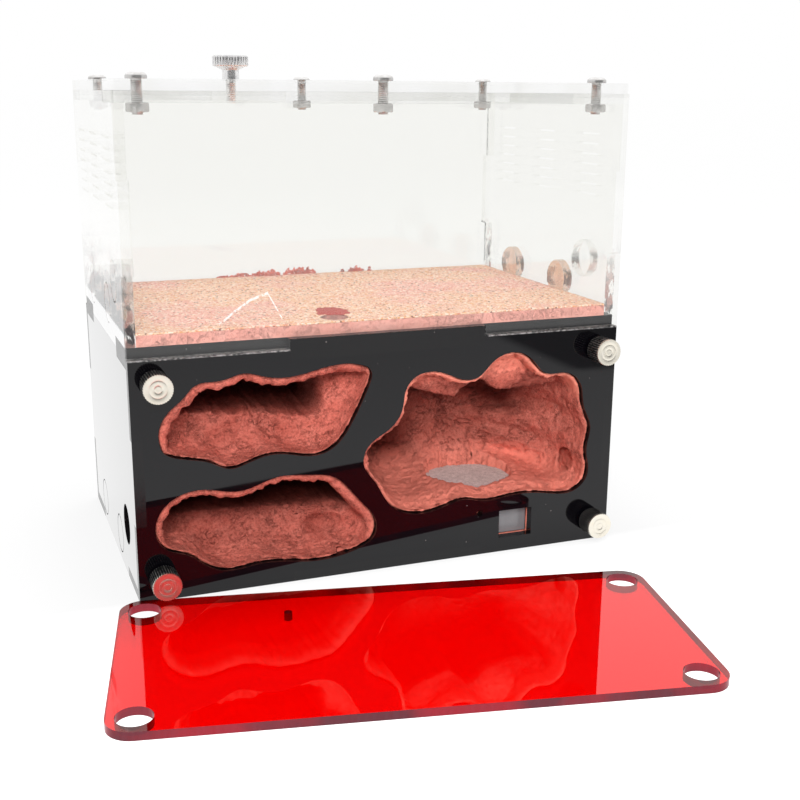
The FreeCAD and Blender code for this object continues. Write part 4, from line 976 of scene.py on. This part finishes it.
# Triangles between flat closed loops: the first holds the others as holes.
def filled(loops):
    curve = bpy.data.curves.new("fill", "CURVE")
    curve.dimensions, curve.fill_mode = "2D", "BOTH"
    for loop in loops:
        spline = curve.splines.new("POLY")
        spline.points.add(len(loop) - 1)
        spline.points.foreach_set("co", [c for x, y in loop for c in (x, y, 0.0, 1.0)])
        spline.use_cyclic_u = True
    holder = bpy.data.objects.new("fill", curve)
    bpy.context.scene.collection.objects.link(holder)
    mesh = bpy.data.meshes.new_from_object(holder.evaluated_get(bpy.context.evaluated_depsgraph_get()))
    spots, faces = [v.co.xy for v in mesh.vertices], [tuple(p.vertices) for p in mesh.polygons]
    bpy.data.objects.remove(holder)
    return spots, faces


def circle(x, y, radius, count=48):
    angles = [turn * k / count for k in range(count)]
    return [(x + radius * math.cos(angle), y + radius * math.sin(angle)) for angle in angles]


def corners(lowX, lowY, highX, highY):  # a rectangle's four corners, counter-clockwise
    return [(lowX, lowY), (highX, lowY), (highX, highY), (lowX, highY)]


# The walls of a pocket from a loop, and its floor.
def pocket(loop, lay, depth, closed=True):
    count = len(loop)
    vertices = [lay(x, y, 0.0) for x, y in loop] + [lay(x, y, depth) for x, y in loop]
    faces = [(k, (k + 1) % count, count + (k + 1) % count, count + k) for k in range(count)]
    return vertices, faces + ([tuple(range(count, 2 * count))] if closed else [])


def plasterBlock():
    low, high = [[c / mm for c in corner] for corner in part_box("plaster_block")]
    loops = holeLoops("nest_front_panel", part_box("nest_front_panel")[1][1])[1:]
    windows = sorted(loops[:3], key=lambda p: p[:, 0].mean() - p[:, 1].mean() * 0.01)
    windows = sorted(windows[:2], key=lambda p: -p[:, 1].mean()) + windows[2:]
    vertices, faces = [], []

    def add(newVertices, newFaces):
        start = len(vertices)
        vertices.extend(Vector(v) for v in newVertices)
        faces.extend(tuple(start + i for i in face) for face in newFaces)

    fronts = []
    shapings = {"upper": shapeUpper, "lower": shapeLower, "right": shapeRight}
    for (name, shaping), window in zip(shapings.items(), windows):
        form = chambers[name]
        points, rings, around = hollow(window, form)
        fixed = points[:around].copy()
        shaping(points)
        if name == "right":
            openTunnels(points)
        points[:around] = fixed
        skin = meshObject("skin", [(x * mm, (plasterFront + y) * mm, z * mm) for x, y, z in points],
                          ringFaces(rings, around, rings * around))
        skin.data.update()
        grained(skin, 0.55, 3.2, form["seed"], around)
        grained(skin, 0.16, 0.9, form["seed"] + 40, around)
        add([v.co / mm for v in skin.data.vertices], [p.vertices for p in skin.data.polygons])
        bpy.data.objects.remove(skin)
        fronts.append([(x, z) for x, _, z in fixed])
    water = loops[3]
    window = corners(*water.min(0), *water.max(0))
    border = corners(low[0], low[2], high[0], high[2])
    spots, triangles = filled([border] + fronts + [window])
    add([(x, plasterFront, z) for x, z in spots], triangles)
    trayLow, trayHigh = [[c / mm for c in corner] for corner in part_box("water_tray")]
    wall = trayLow[1] - 0.3
    add(*pocket(window, lambda x, z, d: (x, plasterFront + d, z), wall - plasterFront, closed=False))
    well = corners(trayLow[0] - 0.4, low[2] + 0.01, trayHigh[0] + 0.4, trayHigh[2] + 0.3)
    spots, triangles = filled([well, window])
    add([(x, wall, z) for x, z in spots], triangles)
    add(*pocket(well, lambda x, z, d: (x, wall + d, z), trayHigh[1] + 0.4 - wall))
    shaft = circle(-18.0, -48.4, 5.9)
    spots, triangles = filled([corners(low[0], low[1], high[0], high[1]), shaft])
    add([(x, y, high[2]) for x, y in spots], triangles)
    add(*pocket(shaft, lambda x, y, d: (x + d * 0.25, y + d * 0.3, high[2] - d), 9.0))
    for side, wallX in ((-1, low[0]), (1, high[0])):
        port = circle(-37.5, 22.5, 7.4)
        spots, triangles = filled([corners(low[1], low[2], high[1], high[2]), port])
        add([(wallX, y, z) for y, z in spots], triangles)
        deep = 5.0 if side > 0 else 9.0
        add(*pocket(port, lambda y, z, d, s=side, w=wallX: (w - s * d, y, z), deep))
    add([(x, high[1], z) for x, z in border], [(0, 1, 2, 3)])
    add([(x, y, low[2]) for x, y in corners(low[0], low[1], high[0], high[1])], [(0, 1, 2, 3)])
    block = meshObject("carvedPlaster", [v * mm for v in vertices], faces)
    shape = bmesh.new()
    shape.from_mesh(block.data)
    bmesh.ops.remove_doubles(shape, verts=shape.verts, dist=1e-6)
    bmesh.ops.recalc_face_normals(shape, faces=shape.faces)
    print("plaster block: open edges", sum(1 for e in shape.edges if len(e.link_faces) != 2),
          "triangles", sum(len(f.verts) - 2 for f in shape.faces))
    shape.to_mesh(block.data)
    shape.free()
    finishPiece(block, "nest", plaster, "tinted_plaster", "plaster_block")


plasterBlock()
dress(slabPlaster, "plaster_floor")
dress(trayPlastic, "water_tray")
print("plaster carved")


wireCloth = {"pitch": 0.85, "wire": 0.18}


def waterMesh():
    low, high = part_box("water_mesh")
    centre = (Vector(low) + Vector(high)) / 2
    radius = (high[0] - low[0]) / 2 - 0.1 * mm
    base = meshObject("spots", [(0, 0, 0)], [])
    cloth = grow("wireCloth", base, weaveMesh, {"Radius": radius, "Pitch": wireCloth["pitch"] * mm,
                                                "Wire": wireCloth["wire"] * mm, "Finish": wire})
    settle(cloth, centre)
    finishPiece(cloth, "nest", wire, "steel_mesh", "water_mesh")


sandBed = {"cell": 0.8, "dune": 0.5, "entrance": (-18.0, -48.4), "hole": 6.0}


# The sand: a raked, slightly uneven bed with a ragged hole over the way down.
def sandLayer():
    low, high = [[c / mm for c in corner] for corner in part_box("sand_layer")]
    across = int((high[0] - low[0]) / sandBed["cell"])
    back = int((high[1] - low[1]) / sandBed["cell"])
    xs, ys = np.linspace(low[0], high[0], across + 1), np.linspace(low[1], high[1], back + 1)
    holeX, holeY = sandBed["entrance"]
    upper = []
    for y in ys:
        for x in xs:
            away = math.hypot(x - holeX, y - holeY)
            rise = sandBed["dune"] * noise.fractal(Vector((x / 22, y / 22, 1)), 1.0, 2.0, 3)
            rise += 0.16 * noise.fractal(Vector((x / 2.2, y / 2.2, 4)), 1.0, 2.0, 2)
            rim = min(x - low[0], high[0] - x, y - low[1], high[1] - y)
            rise = rise * min(rim / 3, 1) - 0.7 * max(0.0, 1 - (away - 5) / 5 if away > 5 else 1.0)
            upper.append((x, y, high[2] - 0.1 + rise * 0.8))
    count, wide = len(upper), across + 1
    hole = {i for i, p in enumerate(upper)
            if math.hypot(p[0] - holeX, p[1] - holeY) < sandBed["hole"] + 0.5 * noise.noise(Vector(p) / 1.5)}
    vertices = [(x * mm, y * mm, z * mm) for x, y, z in upper]
    vertices += [(x * mm, y * mm, low[2] * mm) for x, y, _ in upper]
    quads = []
    for j in range(back):
        for i in range(across):
            a = j * wide + i
            face = (a, a + 1, a + 1 + wide, a + wide)
            if not all(k in hole for k in face):
                quads.append(face)
    edges = {}
    for face in quads:
        for k in range(4):
            a, b = face[k], face[(k + 1) % 4]
            edges[(a, b)] = edges.get((a, b), 0) + 1
    rims = [(a, b) for a, b in edges if (b, a) not in edges]
    faces = quads + [tuple(k + count for k in reversed(face)) for face in quads]
    faces += [(b, a, a + count, b + count) for a, b in rims]
    bed = meshObject("sandBed", vertices, faces)
    shape = bmesh.new()
    shape.from_mesh(bed.data)
    bmesh.ops.delete(shape, geom=[v for v in shape.verts if not v.link_faces], context="VERTS")
    print("sand: open edges", sum(1 for e in shape.edges if len(e.link_faces) != 2))
    shape.to_mesh(bed.data)
    shape.free()
    finishPiece(bed, "nest", sand, "sand", "sand_layer")


def crumbMaster():
    shape = bmesh.new()
    bmesh.ops.create_icosphere(shape, subdivisions=1, radius=1.0)
    for vertex in shape.verts:
        vertex.co *= 1 + 0.35 * noise.noise(vertex.co * 1.7)
    mesh = bpy.data.meshes.new("crumbMaster")
    shape.to_mesh(mesh)
    shape.free()
    crumb = bpy.data.objects.new("crumbMaster", mesh)
    bpy.context.scene.collection.objects.link(crumb)
    return crumb


# Smears of red plaster on the back wall above the sand: start and end in x, and height, in mm.
smears = ((-41, -31, 1.0), (-33, -24.5, 1.8), (-24, -10.5, 3.2), (-9, 7, 3.6), (19.6, 21.4, 2.2),
          (23.5, 31.5, 2.2), (26.5, 28.5, 3.4), (33.5, 35.5, 2.2))
crumb = {"density": 1.1e7, "smallest": 0.16, "largest": 0.4, "seed": 5}


# Crumbs of red plaster stuck in ragged smears to the back wall, just over the sand.
def plasterCrumbs():
    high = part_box("sand_layer")[1]
    master = crumbMaster()
    spots, faces = [], []
    for left, right, tall in smears:
        columns = max(3, int((right - left) / 0.5))
        for k in range(columns + 1):
            x = left + (right - left) * k / columns
            ragged = tall * (0.7 + 0.7 * noise.noise(Vector((x / 1.1, tall, 0))))
            ragged *= min(1.0, 0.35 + 3 * min(k, columns - k) / columns)
            spots.append((x * mm, high[1] - 0.75 * mm, high[2] - 0.5 * mm))
            spots.append((x * mm, high[1] - 0.6 * mm, high[2] + ragged * mm))
            if k:
                last = len(spots)
                faces.append((last - 4, last - 2, last - 1, last - 3))
    patch = meshObject("patch", spots, faces)
    values = {"Crumb": master, "Density": crumb["density"], "Smallest": crumb["smallest"] * mm,
              "Largest": crumb["largest"] * mm, "Seed": crumb["seed"], "Finish": plaster}
    piece = grow("plasterCrumbs", patch, strewCrumbs, values)
    print("crumbs:", len(piece.data.polygons), "faces")
    finishPiece(piece, "nest", plaster, "tinted_plaster")
    bpy.data.objects.remove(master)


waterMesh()
sandLayer()
plasterCrumbs()
print("mesh, sand and crumbs made")


discForm = {"bevel": 0.45}


def sheets():
    dress(blackFace, "nest_front_panel", "nest_back_panel")
    dress(blackPlate, "nest_bottom_plate", "nest_top_plate", "outworld_floor")
    dress(blackSide, "nest_left_panel", "nest_right_panel")
    dress(clearSide, "outworld_left_wall", "outworld_right_wall")
    dress(clearFace, "outworld_front_wall", "outworld_back_wall")
    dress(clearPlate, "outworld_rim", "lid")
    dress(redSheet, "red_cover")


# The cut-out discs that shut the side ports, their rims eased by the laser so that the cut shows as a
# ring. The outworld's middle and rear right discs take a sand-coloured tint, painted refraction of the sand.
def discs():
    storeys = (("nest", ("middle", "rear"), blackSide, "black_acrylic"),
               ("outworld", ("front", "middle", "rear"), clearSide, "clear_acrylic"))
    for storey, names, material, slot in storeys:
        for side in ("left", "right"):
            for name in names:
                node = f"{storey}_{side}_{name}_disc"
                low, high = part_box(node)
                radius, thick = (high[1] - low[1]) / 2 / mm, (high[0] - low[0]) / mm
                bevel = discForm["bevel"]
                rows = [(0.0, radius - bevel, 0), (bevel, radius, 0), (thick - bevel, radius, 0),
                        (thick, radius - bevel, 0)]
                disc = turned(f"{storey}{side.title()}{name.title()}Disc", rows, 72)
                disc.data.transform(Matrix.Rotation(math.pi / 2, 4, "Y"))
                settle(disc, Vector((low[0], middle(node).y, middle(node).z)))
                # These two discs get the sand-tinted sheet as painted refraction.
                tinted = storey == "outworld" and side == "right" and name != "front"
                finishPiece(disc, "nest", refractionTintedDisc if tinted else material, slot, node)


sheets()
discs()
print("sheets dressed")


view = {"place": (-0.154386, -0.47242, 0.18635), "lens": 52.28,
        "right": (0.9333343, -0.35894456, 0.00677373),
        "up": (0.08606082, 0.24201501, 0.96644828),
        "forward": (0.34854069, 0.90143638, -0.25677197)}
# The floor's brightness near the object and far from it, as seen and in mirrors; the dark patch is seen
# in the front panel's top right only.
paper = {"size": 40, "nearShade": "#7a7a7a", "farShade": "#303030", "near": 0.76, "far": 0.985, "front": 0.5,
         "mirrorFront": 1.0, "mirrorBack": 0.72, "mirrorRise": 0.25, "darkX": (236, 250),
         "darkFar": (-335, -350), "darkNear": (-490, -475), "darkShare": 0.85}
light = {"ambient": 0.42, "key": 18.0, "top": 9.5, "fill": 2.0}
# Mirrors see a dark room behind the camera, below this height and beyond this depth, as parts of a
# direction.
room = {"low": (0.6, 0.45), "back": (-0.5, -0.7), "share": 0.85}


def camera():
    data = bpy.data.cameras.new("camera")
    data.lens, data.sensor_width, data.clip_start = view["lens"], 36.0, 0.01
    shooter = bpy.data.objects.new("camera", data)
    axes = Matrix((view["right"], view["up"], -Vector(view["forward"]))).transposed()
    shooter.matrix_world = Matrix.Translation(view["place"]) @ axes.to_4x4()
    bpy.context.scene.collection.objects.link(shooter)
    bpy.context.scene.camera = shooter


def lamp(name, power, size, place):
    data = bpy.data.lights.new(name, "AREA")
    data.energy, data.size = power, size
    holder = bpy.data.objects.new(name, data)
    holder.location = place
    holder.rotation_euler = (Vector((0, 0, 0.06)) - Vector(place)).to_track_quat("-Z", "Y").to_euler()
    holder.visible_glossy = False
    holder.visible_camera = False
    bpy.context.scene.collection.objects.link(holder)


# Camera rays see white; the light that falls on the object is dimmer.
def surroundings():
    world = bpy.data.worlds.new("studio")
    bpy.context.scene.world = world
    world.use_nodes = True
    world.node_tree.nodes.clear()
    add = partial(addNode, world.node_tree)
    path = add("ShaderNodeLightPath").node.outputs
    seen = add("ShaderNodeMath", path["Is Camera Ray"], path["Is Glossy Ray"], operation="MAXIMUM")
    seen = add("ShaderNodeMath", seen, path["Is Transmission Ray"], operation="MAXIMUM")
    strength = add("ShaderNodeMapRange", seen, 0.0, 1.0, light["ambient"], 1.0)
    toward = add("ShaderNodeSeparateXYZ", add("ShaderNodeTexCoord")).node.outputs
    dark = add("ShaderNodeMath", add("ShaderNodeMapRange", toward["Y"], *room["back"]),
               add("ShaderNodeMapRange", toward["Z"], *room["low"]), operation="MULTIPLY")
    dark = add("ShaderNodeMath", dark, path["Is Glossy Ray"], operation="MULTIPLY")
    lit = add("ShaderNodeMath", dark, -room["share"], 1.0, operation="MULTIPLY_ADD")
    strength = add("ShaderNodeMath", strength, lit, operation="MULTIPLY")
    add("ShaderNodeOutputWorld", add("ShaderNodeBackground", (1, 1, 1, 1), strength))


def paperSweep():
    material, add, place, spot = newMaterial("paperSweep")
    path = add("ShaderNodeLightPath").node.outputs
    mirror = path["Is Glossy Ray"]
    straight = add("ShaderNodeMath", path["Is Camera Ray"], path["Is Transmission Ray"], operation="MAXIMUM")
    beyond = []
    for axis, half in (("x", 0.1), ("y", 0.063)):
        beyond.append(add("ShaderNodeMath", add("ShaderNodeMath", spot[axis], operation="ABSOLUTE"), half,
                          operation="SUBTRACT"))
    beyond = add("ShaderNodeMath", *beyond, operation="MAXIMUM")
    beside = add("ShaderNodeMapRange", beyond, 0.01, 0.11, 1.0, 0.0)
    shade = add("ShaderNodeMix", beside, linear(paper["farShade"]), linear(paper["nearShade"]),
                data_type="RGBA")
    base = add("ShaderNodeMix", straight, linear("#f7f7f7"), shade, data_type="RGBA")
    base = add("ShaderNodeMix", mirror, base, linear("#595959"), data_type="RGBA")
    glow = add("ShaderNodeMapRange", beside, 0.0, 1.0, paper["far"], paper["near"])
    front = within(add, spot, ("y", -60, -100, 0.0, paper["front"]))
    glow = add("ShaderNodeMath", glow, front, operation="ADD")
    mirrored = within(add, spot, ("y", -100, -50, paper["mirrorFront"], paper["mirrorBack"]))
    rise = within(add, spot, ("y", -450, -100, 0.0, paper["mirrorRise"]))
    mirrored = add("ShaderNodeMath", mirrored, rise, operation="ADD")
    dark = within(add, spot, ("x", *paper["darkX"]), ("y", *paper["darkFar"]),
                  ("y", *paper["darkNear"], 0.0, paper["darkShare"]))
    lit = add("ShaderNodeMath", 1.0, dark, operation="SUBTRACT")
    mirrored = add("ShaderNodeMath", mirrored, lit, operation="MULTIPLY")
    glow = add("ShaderNodeMath", straight, glow, operation="MULTIPLY")
    glow = add("ShaderNodeMath", mirror, mirrored, glow, operation="MULTIPLY_ADD")
    shader = add("ShaderNodeBsdfPrincipled", {"Base Color": base, "Roughness": 0.9, "Specular IOR Level": 0.0,
                                              "Emission Color": (1, 1, 1, 1), "Emission Strength": glow})
    add("ShaderNodeOutputMaterial", shader)
    return material


def studio():
    surroundings()
    lamp("key", light["key"], 0.5, (-0.42, -1.2, 0.72))
    lamp("top", light["top"], 0.8, (0.0, 0.25, 1.3))
    lamp("fill", light["fill"], 1.2, (1.1, -0.9, 0.7))
    size, level = paper["size"], -0.0002
    corners = [(-size, -size, level), (size, -size, level), (size, size, level), (-size, size, level)]
    floor = meshObject("floor", corners, [(0, 1, 2, 3)])
    floor.data.materials.append(paperSweep())


camera()
studio()
print("studio set")
